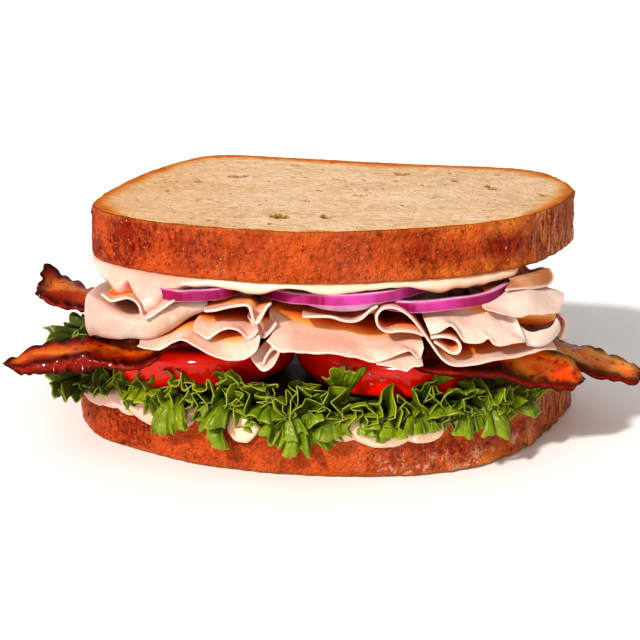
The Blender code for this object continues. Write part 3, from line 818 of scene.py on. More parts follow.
def spread_under_top(material):
    columns = 460
    outline = curve_through(TOP_OUTLINE, columns, closed=True)
    outline.append(outline[0])
    # (out from the rim, share of the hang)
    profile = ((-6, 0.0), (-2, 0.0), (-0.7, -0.02), (-0.15, 0.12), (0.1, 0.35), (0.1, 0.6), (-0.1, 0.82),
               (-0.6, 0.96), (-1.5, 1.0), (-2.6, 0.94), (-3.8, 0.78), (-5.5, 0.5), (-9, 0.4))
    rows = len(profile) + 2

    def shape(turn, j):
        edge = between(outline, turn)
        front = smooth_step(0.5 - edge.y / 16)
        here = (edge.x, edge.y, 0)
        hang, forward = 1.3 + 0.5 * ripple(here, 9, 6.0), 0.0
        if front:
            at = reading(TOP_HANG, edge.x)
            hang += (at[0] * (1 + 0.15 * ripple(here, 4, 1.0)) - hang) * front
            forward = at[1] * front
        push = -0.5 + 0.3 * ripple(here, 7, 2.0) - 9 * smooth_step((edge.x - 50) / 12) * front
        push -= 1.2 * (1 - front) - 0.9 * smooth_step((-edge.x - 40) / 8) * front
        if j == 0 or j == rows - 1:
            return Vector((0, 0, 0.0 if j == 0 else -1.0))
        out, share = profile[j - 1]
        outward = Vector((edge.x, edge.y, 0)).normalized()
        point = Vector((edge.x, edge.y, 0)) + outward * (push + out * (1 + 0.2 * hang))
        point.y -= forward * smooth_step(share * 1.25)
        point.z = -hang * share - (0.2 * ripple(point, 3.5) if share > 0.3 else 0)
        return point

    bm = turned_spread(columns, rows, shape)
    piece = finish_piece("mayonnaise_top", bm, material, "mayonnaise", "mayonnaise_top", place=top_slice_place())
    return piece


# Lettuce


def edge_table(points):
    """Places along a slice's edge with the angle and the distance round."""
    count = 720
    fine = curve_through(points, count, closed=True)
    table = sorted((math.degrees(math.atan2(p.y, p.x)) % 360, p.length) for p in fine)
    return table


def radius_at(table, angle):
    angle %= 360
    step = 360 / len(table)
    guess = int(angle / step)
    near = [table[(guess + k) % len(table)] for k in range(-12, 13)]
    return min(near, key=lambda row: abs((row[0] - angle + 180) % 360 - 180))[1]


# how far the leaves reach past the edge of the slice, every 20 degrees
LEAF_REACH = (2, 2, 3, 5, 5, 5, 5, 6, 8, 7, 7.5, 7, 6.5, 7, 7.5, 6, 5, 3, 2)


def lettuce_frill(start, end, base_z, inset, share_of_reach, seed, hang, swing):
    """One ruffled edge of a leaf between two angles, as a grid whose rows run from the heart outwards."""
    table = edge_table(BOTTOM_OUTLINE)
    arc = math.radians(end - start) * 62
    columns, rows = int(arc / 0.36), 30
    inner = 2

    def place(i, j):
        share = i / (columns - 1)
        s = arc * share + 47 * seed
        degrees = start + (end - start) * share
        angle = math.radians(degrees)
        radius = radius_at(table, degrees)
        outward = Vector((math.cos(angle), math.sin(angle), 0))
        aside = Vector((-math.sin(angle), math.cos(angle), 0))
        at = radius - inset - 5 * smooth_step((math.cos(angle) - 0.85) / 0.1)
        # the first rows run 28 mm in under the tomatoes and take the dark heart colour, a sheet of painted shade
        if j < inner:
            return outward * (at - 28 * (1 - j / inner)) + Vector((0, 0, base_z)), 0.0, 0.0
        t = (j - inner) / (rows - 1 - inner)
        reach = between(LEAF_REACH, (degrees % 360) / 360) * share_of_reach
        sway = ripple((s, 0, 0), 9, seed)
        slow = 2 * math.pi * s / 13 + 3.0 * sway
        quick = 2 * math.pi * s / 5.6 + 3.4 * ripple((s, 9, 0), 6, seed)
        pose = math.radians(hang + swing * math.sin(slow) + 0.4 * swing * math.sin(2.3 * slow + 1))
        long = inset + reach * (1 + 0.55 * ripple((s, 3, 0), 6, seed) + 0.30 * ripple((s, 7, 0), 2.2, seed))
        out_at, up_at, steps = 0.0, 0.0, 8
        for k in range(steps):
            turn = pose * smooth_step(1.6 * t * (k + 0.5) / steps) * 1.2
            out_at += math.cos(turn) * t * long / steps
            up_at += math.sin(turn) * t * long / steps
        bend = pose * smooth_step(1.6 * t) * 1.2
        along = outward * math.cos(bend) + Vector((0, 0, math.sin(bend)))
        normal = -outward * math.sin(bend) + Vector((0, 0, math.cos(bend)))
        ruffled = smooth_step((t - 0.15) / 0.85)
        uneven = 1 + 0.6 * ripple((s, 5, 0), 5, seed)
        fold = 2.5 * ruffled * uneven * math.sin(quick) + 1.25 * ruffled**2 * math.sin(2.6 * quick + 2 * sway)
        lean = 2.3 * ruffled * math.sin(2 * quick + 1.2) + 1.0 * ruffled**2 * math.sin(5.2 * quick + 3 * sway)
        tooth = 1.1 * smooth_step((t - 0.8) / 0.2) * ripple((s, 2, 0), 0.9, seed)
        crinkle = 0.7 * smooth_step(2.5 * t) * ripple((s, t * 13, 0), 2.0, seed)
        crinkle += 0.35 * smooth_step(2 * t) * ripple((s, t * 13, 4), 0.9, seed)
        point = outward * (at + out_at) + Vector((0, 0, base_z + up_at))
        point += normal * (fold + crinkle) + aside * lean + along * tooth
        vein = smooth_step(1 - abs(ripple((s, t * 5, 0), 3.2, seed + 5)) * 9) * (1 - t)
        return point, max(t, 0.02), vein

    bm = sheet(columns, rows, place, ("outward", "vein"))
    low, high = BOTTOM_LOW.z + 1.5, 27.0
    for vert in bm.verts:
        if vert.co.z < low + 2:
            vert.co.z = low + 2 * math.exp((vert.co.z - low - 2) / 4)
        elif vert.co.z > high - 2:
            vert.co.z = high - 2 * math.exp((high - 2 - vert.co.z) / 4)
    return bm


# (x, set in from the edge, height of its foot, pitch there, pitch at its tip, length, how wide it fans out, depth of
# its ruffles, how far it turns aside), with lengths in mm and turns in degrees
LETTUCE_LOBES = {
    "lettuce_front_left": (
        (-68, 3, 19, -5, -25, 13, 70, 2.4, -25), (-66, 3, 20, -5, -35, 10, 80, 2.2, 15),
        (-60, 5, 20, 5, -50, 8, 90, 1.6, 10), (-55, 6, 18, 60, 35, 9.5, 80, 1.6, 0),
        (-52, 4, 20, 15, -60, 9.5, 110, 2.0, -15), (-48, 5, 19, 30, -30, 10, 100, 2.2, 10),
        (-42, 3.5, 19.5, 5, -95, 13.5, 62, 1.4, 14), (-43, 7, 18, 60, 25, 11, 80, 1.8, 5),
        (-35, 8, 18, 50, 20, 12, 85, 1.8, -15), (-31, 3, 18, -10, -95, 12, 56, 1.2, 5),
        (-29, 8, 18, 70, 45, 10, 60, 1.3, 0), (-26, 6, 20, 15, -65, 14, 70, 1.6, -30),
        (-23, 9, 17, 62, 25, 15, 75, 1.6, 0), (-16, 5, 19, 25, -50, 10, 110, 2.2, 0),
        (-12, 4, 19, 0, -80, 11, 90, 2.0, -5), (-8, 6, 18, 55, 20, 10, 80, 1.8, 0),
    ),
    "lettuce_front_right": (
        (-7, 3, 18.5, -10, -95, 14, 80, 1.6, 0), (-3, 5, 19, 20, -50, 9.5, 105, 2.0, 0),
        (1, 4, 18, 10, -70, 10, 95, 2.0, 10), (4.5, 6, 19, 76, 60, 12, 55, 1.2, 0),
        (9, 4, 17, 10, -60, 8.5, 105, 1.7, 0), (14, 4, 17, 5, -70, 8.5, 100, 1.6, 0),
        (19, 4, 17.5, 5, -75, 8.5, 100, 1.7, -8), (24, 4, 18, 15, -65, 10, 90, 1.8, 8),
        (27, 7, 18, 68, 45, 11, 55, 1.2, 0), (31, 5, 19, 20, -40, 9, 105, 2.0, 0),
        (35, 6, 19, 55, 10, 10, 75, 1.6, 0), (38, 3.5, 19, 5, -85, 12, 70, 1.4, -8),
        (43, 3, 19, -5, -95, 12, 60, 1.2, 5), (47, 5, 18, 40, 0, 9, 90, 1.8, 0),
        (50, 5, 18, 20, -40, 9, 100, 1.8, 0), (54, 4, 18, 10, -85, 10, 60, 1.0, 0),
        (59, 4, 17, 15, -30, 8, 80, 1.2, 0),
    ),
    "lettuce_back": (),
}
# (angle, length) of the lobes at the ends and the back
LETTUCE_SIDES = {
    "lettuce_front_left": ((154, 10), (162, 12), (169, 18), (175, 17), (185, 11), (193, 12), (200, 14), (207, 10)),
    "lettuce_front_right": ((326, 6), (334, 5), (342, 4), (351, 3.5), (0, 3.5), (9, 3.5), (18, 4)),
    "lettuce_back": ((44, 7), (52, 9), (60, 10), (69, 9), (78, 10), (87, 9), (96, 10), (105, 9), (114, 10), (123, 9),
                     (131, 10), (139, 10)),
}


def front_angle(table, x):
    """The angle at which the front half of the slice's edge passes x."""
    front = [row for row in table if 180 < row[0] < 360]
    return min(front, key=lambda row: abs(row[1] * math.cos(math.radians(row[0])) - x))[0]


def lettuce_lobe(angle, inset, z, first_pitch, last_pitch, long, span, ruffle, lean, seed):
    """One fan of leaf, which leaves the slice's edge at first_pitch, bends to last_pitch and ends in a toothed rim."""
    table = edge_table(BOTTOM_OUTLINE)
    heading = math.radians(angle)
    outward = Vector((math.cos(heading), math.sin(heading), 0))
    side = Vector((-math.sin(heading), math.cos(heading), 0))
    inset += 5 * smooth_step((math.cos(heading) - 0.85) / 0.1)
    foot = outward * (radius_at(table, angle) - inset) + Vector((0, 0, z))
    columns, rows = int(18 + long * span / 9), 22

    def place(i, j):
        share = i / (columns - 1)
        theta = math.radians(span * (share - 0.5) + lean)
        t = 0.06 + 0.94 * j / (rows - 1)
        arc = theta * long
        reach = long * (1 + 0.34 * ripple((arc, 0, seed * 9), 4.5) + 0.12 * ripple((arc, 4, seed * 9), 0.9) * t)
        forward, aside = reach * t * math.cos(theta), reach * t * math.sin(theta)
        # the way out follows a bend whose pitch changes evenly
        steps, out_at, up_at = 8, 0.0, 0.0
        for k in range(steps):
            pitch = math.radians(first_pitch + (last_pitch - first_pitch) * t * (k + 0.5) / steps)
            out_at += math.cos(pitch) * forward / steps
            up_at += math.sin(pitch) * forward / steps
        pitch = math.radians(first_pitch + (last_pitch - first_pitch) * t)
        normal = -outward * math.sin(pitch) + Vector((0, 0, math.cos(pitch)))
        wave = math.sin(arc * 2 * math.pi / 9 + 8 * ripple((arc, 8, seed), 9) + 4 * seed)
        wave += 0.3 * math.sin(arc * 2 * math.pi / 3.4 + 6 * ripple((arc, 3, seed), 5)) * t
        crinkle = 0.55 * ripple((arc, t * long, seed), 2.2) + 0.25 * ripple((arc, t * long, seed), 0.9)
        lift = ruffle * t**1.7 * wave + crinkle * smooth_step(3 * t)
        sway = 0.55 * ruffle * t**2 * math.cos(arc * 2 * math.pi / 3.75 + seed)
        vein = smooth_step(1 - abs(math.sin(3.2 * theta + 0.4 * ripple((arc, t * 9, seed), 3))) * 7) * (1 - t)
        return foot + outward * out_at + Vector((0, 0, up_at)) + side * (aside + sway) + normal * lift, t, vein

    return sheet(columns, rows, place, ("outward", "vein"))


def join_bmeshes(parts):
    """One bmesh from several."""
    whole = bmesh.new()
    for part in parts:
        mesh = bpy.data.meshes.new("part")
        part.to_mesh(mesh)
        part.free()
        whole.from_mesh(mesh)
        bpy.data.meshes.remove(mesh)
    return whole


# Tomatoes


def tomato_slice(name, material, lobes, seed):
    low, high = box_mm(name)
    middle = (low + high) / 2
    radius = ((high.x - low.x) + (high.y - low.y)) / 4
    half = (high.z - low.z) / 2
    columns, rim_steps = 150, 12
    # (share of the radius, share of half the thickness, how much it is a cut face)
    profile = [(0.0, 1.0, 1.0), (0.4, 1.0, 1.0), (0.75, 1.0, 1.0), (0.86, 1.0, 1.0)]
    for k in range(rim_steps + 1):
        turn = math.pi * (0.5 - k / rim_steps)
        bulge = math.copysign(abs(math.sin(turn)) ** 0.75, math.sin(turn))
        profile.append((0.905 + 0.095 * math.cos(turn) ** 0.8 if abs(turn) < 1.57 else 0.905, bulge, 0.0))
    profile += [(0.86, -1.0, 1.0), (0.75, -1.0, 1.0), (0.4, -1.0, 1.0), (0.0, -1.0, 1.0)]

    def place(i, j):
        turn = 2 * math.pi * (i % columns) / columns
        out, up, cut = profile[j]
        r = radius * (1 + 0.014 * math.cos(lobes * turn + seed) + 0.01 * math.cos(2 * turn + seed))
        point = Vector((math.cos(turn) * r * out, math.sin(turn) * r * out, half * up))
        if cut and 0 < out:
            point.z -= math.copysign(0.35 * (0.5 + 0.5 * ripple(point, 6, seed)), up)
        return middle + point, cut

    bm = joined_up(sheet(columns + 1, len(profile), place, ("cut_face",)))
    piece = finish_piece(name, bm, material, "tomato", name)
    soft = piece.modifiers.new("softness", "SUBSURF")
    soft.levels = soft.render_levels = 1
    return piece


# Bacon

# Each strip is laid along four rails, from its back edge to its front one.
BACON = {
    "bacon_front": (
        ((-89.5, -42, 27.8), (-84, -37, 29), (-79, -35, 30.6), (-73, -33, 31.3), (-66, -32, 31.9), (-60, -31, 31.8),
         (-50, -27, 33), (-30, -22, 34), (0, -20, 33), (30, -26, 33.5), (45, -31, 33.5), (53, -35, 32.5),
         (61, -38, 30), (65, -38, 28.8), (68, -38, 26.2), (70.9, -40.5, 22.8)),
        ((-89.5, -42, 27.7), (-84, -40.5, 28.4), (-79, -40, 29.4), (-73, -40, 30), (-66, -39.5, 30.6),
         (-60, -40, 30.8), (-50, -38, 32.5), (-30, -32, 34.5), (0, -29, 33.5), (30, -38, 33), (45, -41, 32),
         (52, -42, 29.6), (59, -42.5, 27.2), (63, -42, 26), (67, -41, 24.4), (70.9, -40.7, 22.6)),
        ((-89.5, -42, 27.6), (-84, -43.5, 27.6), (-79.5, -44.2, 28.6), (-75, -44.6, 29.8), (-70, -44.6, 30.6),
         (-66.5, -44.6, 31.3), (-62, -46, 30.4), (-57, -48, 30), (-53, -49, 30), (-49.5, -50, 30.9),
         (-46, -50, 33), (-42, -47, 35.2), (-30, -42, 34.5), (0, -40, 33), (18, -47, 32.5), (26, -52.5, 30.8),
         (34, -53, 30.4), (42, -52.3, 29.7), (46, -51, 28.8), (50, -49.5, 26.9), (54, -48, 25), (58, -46.5, 24.6),
         (63, -44.8, 23.2), (67, -42.8, 21.8), (70.9, -41, 22.2)),
        ((-89.5, -42, 27.4), (-85, -44.8, 26.2), (-79, -46, 25.8), (-73, -46.6, 26), (-66, -46.6, 27),
         (-61, -48, 28.5), (-57, -49.2, 28.5), (-53, -50, 28.6), (-49.5, -51, 29.6), (-46, -51, 31.6),
         (-42, -48, 34), (-30, -44, 33.6), (0, -42, 32.4), (18, -48.5, 31.4), (26, -53.4, 28.9), (34, -54, 28.3),
         (42, -53.3, 27.7), (47, -51.6, 26.2), (51, -50, 24.4), (55, -48.6, 22.8), (59, -47, 22.4),
         (63, -45.4, 21), (67, -43.4, 20.4), (70.9, -41.2, 21.8)),
    ),
    "bacon_back": (
        ((-90.5, 33, 32.8), (-87, 34, 32.3), (-84.5, 34.5, 29), (-79.5, 34, 26.6), (-75.5, 31, 25.8), (-68, 27, 28),
         (-55, 24, 32), (0, 16, 33), (48, 6, 32), (56, 0, 28), (63, -5, 24), (70.5, -8, 21.4), (76, -9, 20.8),
         (82, -11, 19.4), (87, -13, 17.6), (91.2, -17, 16.8)),
        ((-90.8, 25, 29.6), (-86, 25, 28.6), (-82, 25, 28.2), (-78, 24, 27.2), (-74, 22, 27), (-66, 18, 29.5),
         (-55, 15, 32), (0, 8, 33), (48, -3, 32.5), (57, -9, 28), (64, -14, 23.4), (71, -16, 21.4),
         (77, -17.5, 20.2), (83, -19, 18.4), (88, -19.5, 16.8), (91.2, -19.5, 16.4)),
        ((-91, 18.4, 28.8), (-87, 16.6, 27.4), (-84, 15.6, 26.3), (-80, 15, 25.7), (-77, 14.5, 25), (-72, 13, 25.8),
         (-64, 10, 29), (-55, 8, 31.5), (0, 0, 32.6), (48, -12, 32), (56, -17, 27.5), (63, -21.5, 23.6),
         (69.5, -24, 21.8), (73.5, -25, 20), (78, -25.5, 18.4), (82, -25.5, 17.8), (87, -25, 16.4),
         (91.2, -21.5, 16.2)),
        ((-91, 17.6, 27.6), (-87, 15.8, 26.2), (-84, 14.8, 25), (-80, 14.2, 24.5), (-77, 13.6, 23.8), (-72, 12, 25),
         (-64, 9, 28.4), (-55, 7, 31), (0, -1, 32.2), (48, -13, 31.4), (56, -18, 26.8), (63, -22.6, 22.6),
         (69.5, -25.2, 20.4), (73.5, -26.3, 18.2), (78, -26.8, 16.8), (82, -26.8, 16.4), (87, -26.2, 14.8),
         (91.2, -22, 15.8)),
    ),
}
BACON_ROWS = (0.0, 0.10, 0.22, 0.36, 0.52, 0.68, 0.84, 1.0, 1.16, 1.32, 1.48, 1.62, 1.74, 1.84, 1.92, 2.0, 2.08,
              2.18, 2.32, 2.5, 2.68, 2.84, 2.95, 3.0)


def rail_table(points):
    """Evenly spaced heights and depths of a rail against x."""
    fine = curve_through(points, 700)
    count = 600
    low, high = fine[0].x, fine[-1].x
    made, k = [], 0
    for i in range(count):
        x = low + (high - low) * i / (count - 1)
        while k < len(fine) - 2 and fine[k + 1].x < x:
            k += 1
        share = (x - fine[k].x) / max(fine[k + 1].x - fine[k].x, 1e-6)
        made.append(fine[k].lerp(fine[k + 1], min(max(share, 0.0), 1.0)))
    return made


def bacon_strip(name, material, thickness, seed):
    rails = [rail_table(points) for points in BACON[name]]
    long = rails[0][-1].x - rails[0][0].x
    columns = int(long / 0.55)

    def place(i, j):
        share = i / (columns - 1)
        across = BACON_ROWS[j]
        knots = [between(rail, share) for rail in rails]
        point = through(knots, across)
        x = point.x
        free = smooth_step((abs(x) - 46) / 12)
        edge = max(smooth_step(1 - across / 0.6), smooth_step((across - 2.5) / 0.5))
        ridge = smooth_step(1 - abs(across - 2.0) / (0.35 + 0.25 * smooth_step((x - 40) / 8)))
        crinkle = math.sin(1.5 * x + 5 * ripple((x, across * 4, 0), 7, seed) + 2 * across)
        crinkle *= 0.55 + 0.9 * ripple((x, 5, 0), 9, seed)
        lumps = 0.5 * ripple(point, 6, seed) + 0.42 * ripple(point, 2.6, seed + 3) + 0.24 * ripple(point, 1.25, seed)
        point.z += free * (0.65 * edge + 0.55 * ridge) * crinkle + lumps
        point.y += free * (0.9 * edge * ripple((x, across, 0), 3.4, seed) + 0.6 * edge * ripple((x, 3, 0), 1.5, seed))
        point.y += (0.5 if across < 1 else -0.5) * free * edge * crinkle
        ends = min(share, 1 - share) * long
        point.x += (1 if share < 0.5 else -1) * 1.6 * smooth_step(1 - ends / 3) * (0.5 + ripple((across * 9, 0, 0), 3, seed))
        crisp = max(edge * 0.9, 0.85 * ridge, smooth_step(1 - ends / 6))
        return point, crisp, across / 3

    bm = sheet(columns, len(BACON_ROWS), place, ("crisp", "across"))
    piece = finish_piece(name, bm, material, "bacon", name)
    return thicken(piece, thickness, 1, 0.2, even=False)


# Turkey

# Each slice is a list of (how far in from its cut edge its painted fold shade begins, at its two ends; its sections).
# The first section is the cut edge, and the others follow the slice inwards, before it runs on to the back. A number
# after the sections says how much painted shadow of the top slice turns the whole slice tan.
TURKEY = {
    "turkey_left_roll": (
        ((1.5, 9), (
            ((-60.5, -48, 49.5), (-57.5, -52, 48.9), (-55.4, -53, 49.5), (-52.8, -53, 50.1), (-50.6, -53, 48.9),
             (-49.6, -53, 47), (-49.3, -53, 45), (-48, -53, 44), (-44.8, -53, 46.1), (-42.1, -53, 48.1),
             (-40, -52, 49.4)),
            ((-60, -42, 47.5), (-57, -45, 47.5), (-54.5, -46, 48.2), (-52, -46, 48.4), (-50, -46, 47.5),
             (-48.6, -46, 46.5), (-47, -47, 47), (-44.5, -47, 48.4), (-42, -47, 49), (-39, -46, 49)),
        )),
    ),
    "turkey_wave": (
        ((5, 4), (
            ((-50.8, -53.5, 36.9), (-48.2, -55.5, 36.7), (-45, -57, 37), (-42.9, -57.5, 37.8), (-40.5, -58, 39.4),
             (-38.1, -58.5, 40.2), (-34.6, -59, 38.5), (-31.1, -59.5, 36.4), (-28, -60, 35.5), (-24.3, -60, 35.1),
             (-21.4, -60, 35.5), (-19.6, -59.5, 37), (-18.3, -59, 39.1), (-17.8, -58, 41.2)),
            ((-50.6, -51, 36.6), (-47.5, -52, 37.1), (-44.3, -53.5, 38.3), (-41.6, -54, 39.5), (-38.3, -55, 40.5),
             (-34.8, -55.5, 39.7), (-31.6, -56, 38.5), (-29.2, -56.5, 38.1), (-26.6, -56.5, 39), (-23.9, -56.5, 39.3),
             (-21.6, -56.5, 39.3), (-20, -56.5, 39.8), (-18.7, -55.5, 41.1)),
            ((-50.5, -47, 36.8), (-47.8, -48, 37.5), (-44.5, -49, 38.2), (-41.9, -50, 39.2), (-38.4, -50, 41.2),
             (-35.5, -50, 42), (-31.5, -50, 41), (-28, -50, 40), (-24, -50, 40), (-20.5, -50, 40.5), (-18, -50, 41.5)),
        )),
        ((4, 4), (
            ((-35.5, -56, 41.6), (-32.9, -56.5, 40.4), (-31.6, -57, 39.8), (-30, -57, 41.1), (-28.1, -57, 42.4),
             (-25.8, -57, 42.9), (-23.4, -57, 42.2), (-22.3, -57, 40.9), (-21.3, -57, 39.7), (-19.7, -57, 40.6),
             (-18.4, -57, 42.6)),
            ((-35.5, -53, 43.3), (-31, -53, 42.7), (-27.5, -53, 43.5), (-23.5, -53, 43.4), (-20.9, -53, 42.4),
             (-18.6, -53, 43.1)),
            ((-34.5, -48, 43.8), (-30.5, -48, 43.2), (-25, -48, 43.2), (-20.5, -48, 42.9), (-18.5, -48, 43.3)),
        )),
    ),
    "turkey_bridge": (
        ((4, 4), (
            ((-32.6, -56, 47.2), (-29.2, -57, 48), (-26.6, -57, 48.7), (-23.9, -57, 49.2), (-21.5, -57, 49.4),
             (-20.4, -57, 49), (-20, -57, 47.6), (-19.8, -57, 45.6), (-19.2, -57, 44), (-18.1, -57, 44.9),
             (-17, -57, 47), (-16, -57, 49), (-14.9, -57, 50)),
            ((-33, -51, 46.6), (-29.5, -51, 47.2), (-26.8, -51, 47.7), (-24.2, -51, 48.2), (-21.8, -51, 48.4),
             (-20.4, -51, 48.4), (-19.6, -51, 47.6), (-18.8, -51, 46.6), (-17.8, -51, 46.8), (-16.7, -51, 47.2),
             (-15.1, -51, 47.6)),
        )),
    ),
    "turkey_small_roll": (
        ((6, 1), (
            ((-20.7, -57, 35), (-19.3, -58, 33), (-17.7, -59, 31.9), (-15.8, -59.5, 32.3), (-14.2, -59, 34),
             (-13.1, -57, 36.4), (-13.9, -56.5, 37), (-15.6, -57, 36.2), (-17, -58, 34.5), (-17.3, -58.5, 33.2)),
            ((-17.4, -53.5, 37.4), (-16.2, -54.5, 35.6), (-14.8, -55, 34.8), (-13.2, -55, 35.6), (-12.4, -54, 37.4),
             (-11.6, -53, 38.8), (-12.4, -53, 39.2), (-13.8, -53.5, 38.2), (-14.6, -54, 37)),
            ((-14.1, -50, 39.8), (-13, -50, 38.6), (-11.6, -50, 38.4), (-10.6, -50, 39.4), (-10.4, -50, 40.4),
             (-11.4, -50, 40.6), (-12.4, -50, 39.8)),
        )),
        ((3, 3), (
            ((-21.5, -53, 45), (-19.5, -54, 42), (-17.6, -55, 39.4), (-15.8, -55.5, 40.6), (-13.5, -55, 43.6)),
            ((-21, -50, 45.6), (-18.8, -50, 44), (-16.6, -50, 43), (-14, -50, 44.6)),
        )),
    ),
    "turkey_middle_flap": (
        ((9, 7.5), (
            ((-16.5, -56, 39), (-13.1, -59, 37.1), (-10.2, -60, 37.4), (-4.9, -60, 37), (0.3, -60, 37),
             (4.2, -60, 36.3), (7.4, -60, 35.8), (12.1, -60, 34.4), (14.7, -60, 35.2), (17.8, -59.5, 36.3),
             (20, -59, 37.2), (21.3, -58.5, 37.4), (22.7, -58.5, 36), (24, -58, 34.5), (25, -57, 37.6)),
            ((-14.5, -54, 41.6), (-10.2, -55, 40.4), (-4.9, -55, 39), (0.3, -55, 38.4), (7.5, -55, 37.6),
             (13.6, -55, 37.2), (17.5, -55, 37.6), (21, -55, 38.2), (24.8, -54, 38.6)),
            ((-15.7, -50, 45.1), (-11.7, -50, 44), (-6.3, -50, 42), (0.4, -50, 40.6), (7.1, -50, 40),
             (13.7, -50, 38.8), (19.1, -50, 38.6), (24.5, -50, 39)),
            ((-15.5, -44, 46), (-10, -44, 45.2), (-4, -44, 43.6), (2, -44, 42.2), (9, -44, 41), (16, -44, 40),
             (24, -44, 39.6)),
        )),
        ((3.5, 3.5), (
            ((12.3, -60, 34), (16.5, -60.5, 33.4), (18.6, -60.5, 32.5), (20.5, -60.5, 31.9), (22, -60, 33.2),
             (24.9, -59.5, 33.4)),
            ((13, -57, 35), (17.5, -57.5, 35.2), (20, -57.5, 35.3), (22.5, -57.5, 35), (24.5, -57, 34.6)),
            ((13, -50, 36), (19, -50, 36), (24, -50, 36)),
        )),
    ),
    "turkey_middle_fold": (
        ((4, 4), (
            ((-7, -55, 45.4), (0.3, -56, 45.8), (3, -56, 44.9), (5.6, -56, 44.4), (7.7, -56, 44.7), (9.6, -56, 46.1),
             (11.2, -56, 48), (13, -55.5, 48.8)),
            ((-7, -50, 44.8), (3, -50, 44), (6, -50, 43.8), (9, -50, 44.6), (12, -50, 45)),
        )),
    ),
    "turkey_s_fold": (
        ((2, 4.5), (
            ((25.1, -57, 40.6), (22.5, -57, 41.7), (18.8, -57, 42), (15.6, -57, 41.7), (13.2, -57, 43.1),
             (12.5, -56.5, 45.4), (13.5, -56, 47.4), (15.6, -56, 48.2), (18.3, -56, 47.7), (20.9, -56.5, 46.2),
             (23.3, -57, 43.7), (25.6, -58, 40.7), (27.7, -58.5, 37.7), (29.6, -59.5, 35.3), (31.7, -60, 33.9),
             (34.3, -60, 33.4), (39.2, -59, 33.6), (43.8, -57.5, 34.2), (49.4, -54.5, 33.8), (53.6, -52, 34),
             (58, -49, 34.1), (61.8, -46, 33)),
        )),
    ),
    "turkey_right_flap": (
        ((0.5, 0.5), (
            ((26.6, -58, 40.4), (29.2, -58.5, 41), (31.8, -58.5, 40.7), (33.8, -58.5, 39.7), (34.6, -59, 37.9),
             (33.6, -59, 36.4), (31.7, -59, 36.8), (29.6, -58.5, 38.2), (27.5, -58, 39.6)),
            ((27, -51, 40.6), (29.4, -51, 41), (31.8, -51, 40.7), (33.6, -51, 39.7), (34, -51, 38.4),
             (33, -51, 37.4), (31.5, -51, 37.6), (29.6, -51, 38.8), (27.8, -51, 39.8)),
        )),
    ),
    "turkey_right_sheet": (
        ((11, 10), (
            ((26.6, -57, 41), (29.3, -57.5, 42.3), (31.4, -57.5, 43.8), (32.5, -57.5, 43.8), (33.9, -57.5, 42),
             (34.9, -57.5, 40.2), (35.7, -57.5, 39.1), (38.6, -57.5, 38.9), (40.7, -57, 39), (42, -56.5, 39.8),
             (43.1, -56.5, 39.7), (43.7, -56.5, 38), (46.1, -56, 37.6), (48.6, -55, 37.7), (51, -54, 38),
             (52.5, -52.5, 37.5), (51.3, -51.5, 40.2), (50, -51, 43), (49, -50.5, 44.8)),
            ((25.3, -53, 43.6), (29.6, -53, 44.6), (33.5, -53, 43.9), (37.5, -53, 42.6), (42.9, -52.5, 42.3),
             (46.8, -51.5, 41.6), (49.5, -50, 41.6), (49.6, -49.6, 43), (48.8, -49.6, 44.6)),
            ((24.4, -47, 44.4), (30, -47, 45.4), (37, -47, 45.6), (43, -46.5, 45.4), (47, -46, 44.6), (48, -46, 44.8)),
        )),
    ),
    "turkey_right_fold": (
        ((9, 9), (
            ((41.5, -54, 47), (45.5, -53, 45.6), (49.6, -51.5, 44.2), (53.9, -49.5, 43.9), (58.3, -47, 43.5),
             (61, -45, 43), (62.6, -43, 42.4)),
            ((40.5, -50, 47.2), (46, -49, 46.7), (50.2, -47.5, 47.1), (54.4, -45.5, 47.4), (58.9, -43, 45.4),
             (63.5, -40, 44.4)),
            ((42, -42, 48.2), (47, -41, 48.8), (52, -39, 49), (57, -37, 48), (64.5, -36, 45.4)),
        )),
        ((12, 12), (
            ((50.9, -50, 41.5), (52.8, -50, 39.9), (55.4, -49.5, 39.5), (58.3, -48, 39.6), (60.1, -46.5, 40.5),
             (61.3, -45, 42)),
            ((52.3, -50.5, 37.9), (55.5, -50.5, 37.4), (58.9, -49, 37.7), (60.9, -47, 38.7), (62.2, -45, 40.5)),
            ((53, -50, 35.7), (56.5, -49.5, 35.3), (59.4, -48, 36), (61.3, -46, 36.9), (62.8, -43, 38)),
            ((53, -44, 35), (57, -44, 35), (60, -43, 35.5), (62.5, -40, 36)),
        )),
        ((-1, -1), (
            ((49.5, -47, 44.2), (54, -46.5, 44), (58, -45, 43.6), (61.5, -43, 42.8)),
            ((50, -44.5, 40), (54, -43.5, 39.4), (58, -43, 39.4), (61.5, -41.5, 40)),
        )),
        ((5, 5), (
            ((47, -45, 49.5), (52, -43, 49), (57, -40, 48.4), (60.5, -37, 48.5), (61.6, -35, 50.3), (61, -34, 52.2)),
            ((49, -42, 51.2), (54, -40, 51.6), (58, -37, 51.8), (60, -34, 51.6), (60, -32, 51.8)),
        ), 1.0),
        ((6, 6), (
            ((62.6, -41, 41.6), (64.6, -39.5, 39.4), (65.2, -38, 36.4), (63.6, -40, 33.6)),
            ((61, -35, 41), (63, -34, 38.6), (63.4, -33, 36), (62, -34, 34)),
        )),
    ),
}
# (place and half height along the rounded front of the fold at the left)
TURKEY_DRAPE = (
    (-67, -34, 38.2, 4.6), (-63, -45, 41, 6.2), (-55, -50, 40.6, 4.6), (-48, -52, 41, 3.2), (-42, -52.4, 43.6, 4),
    (-36, -51, 45.7, 2.4), (-32, -50, 46.6, 1.2),
)


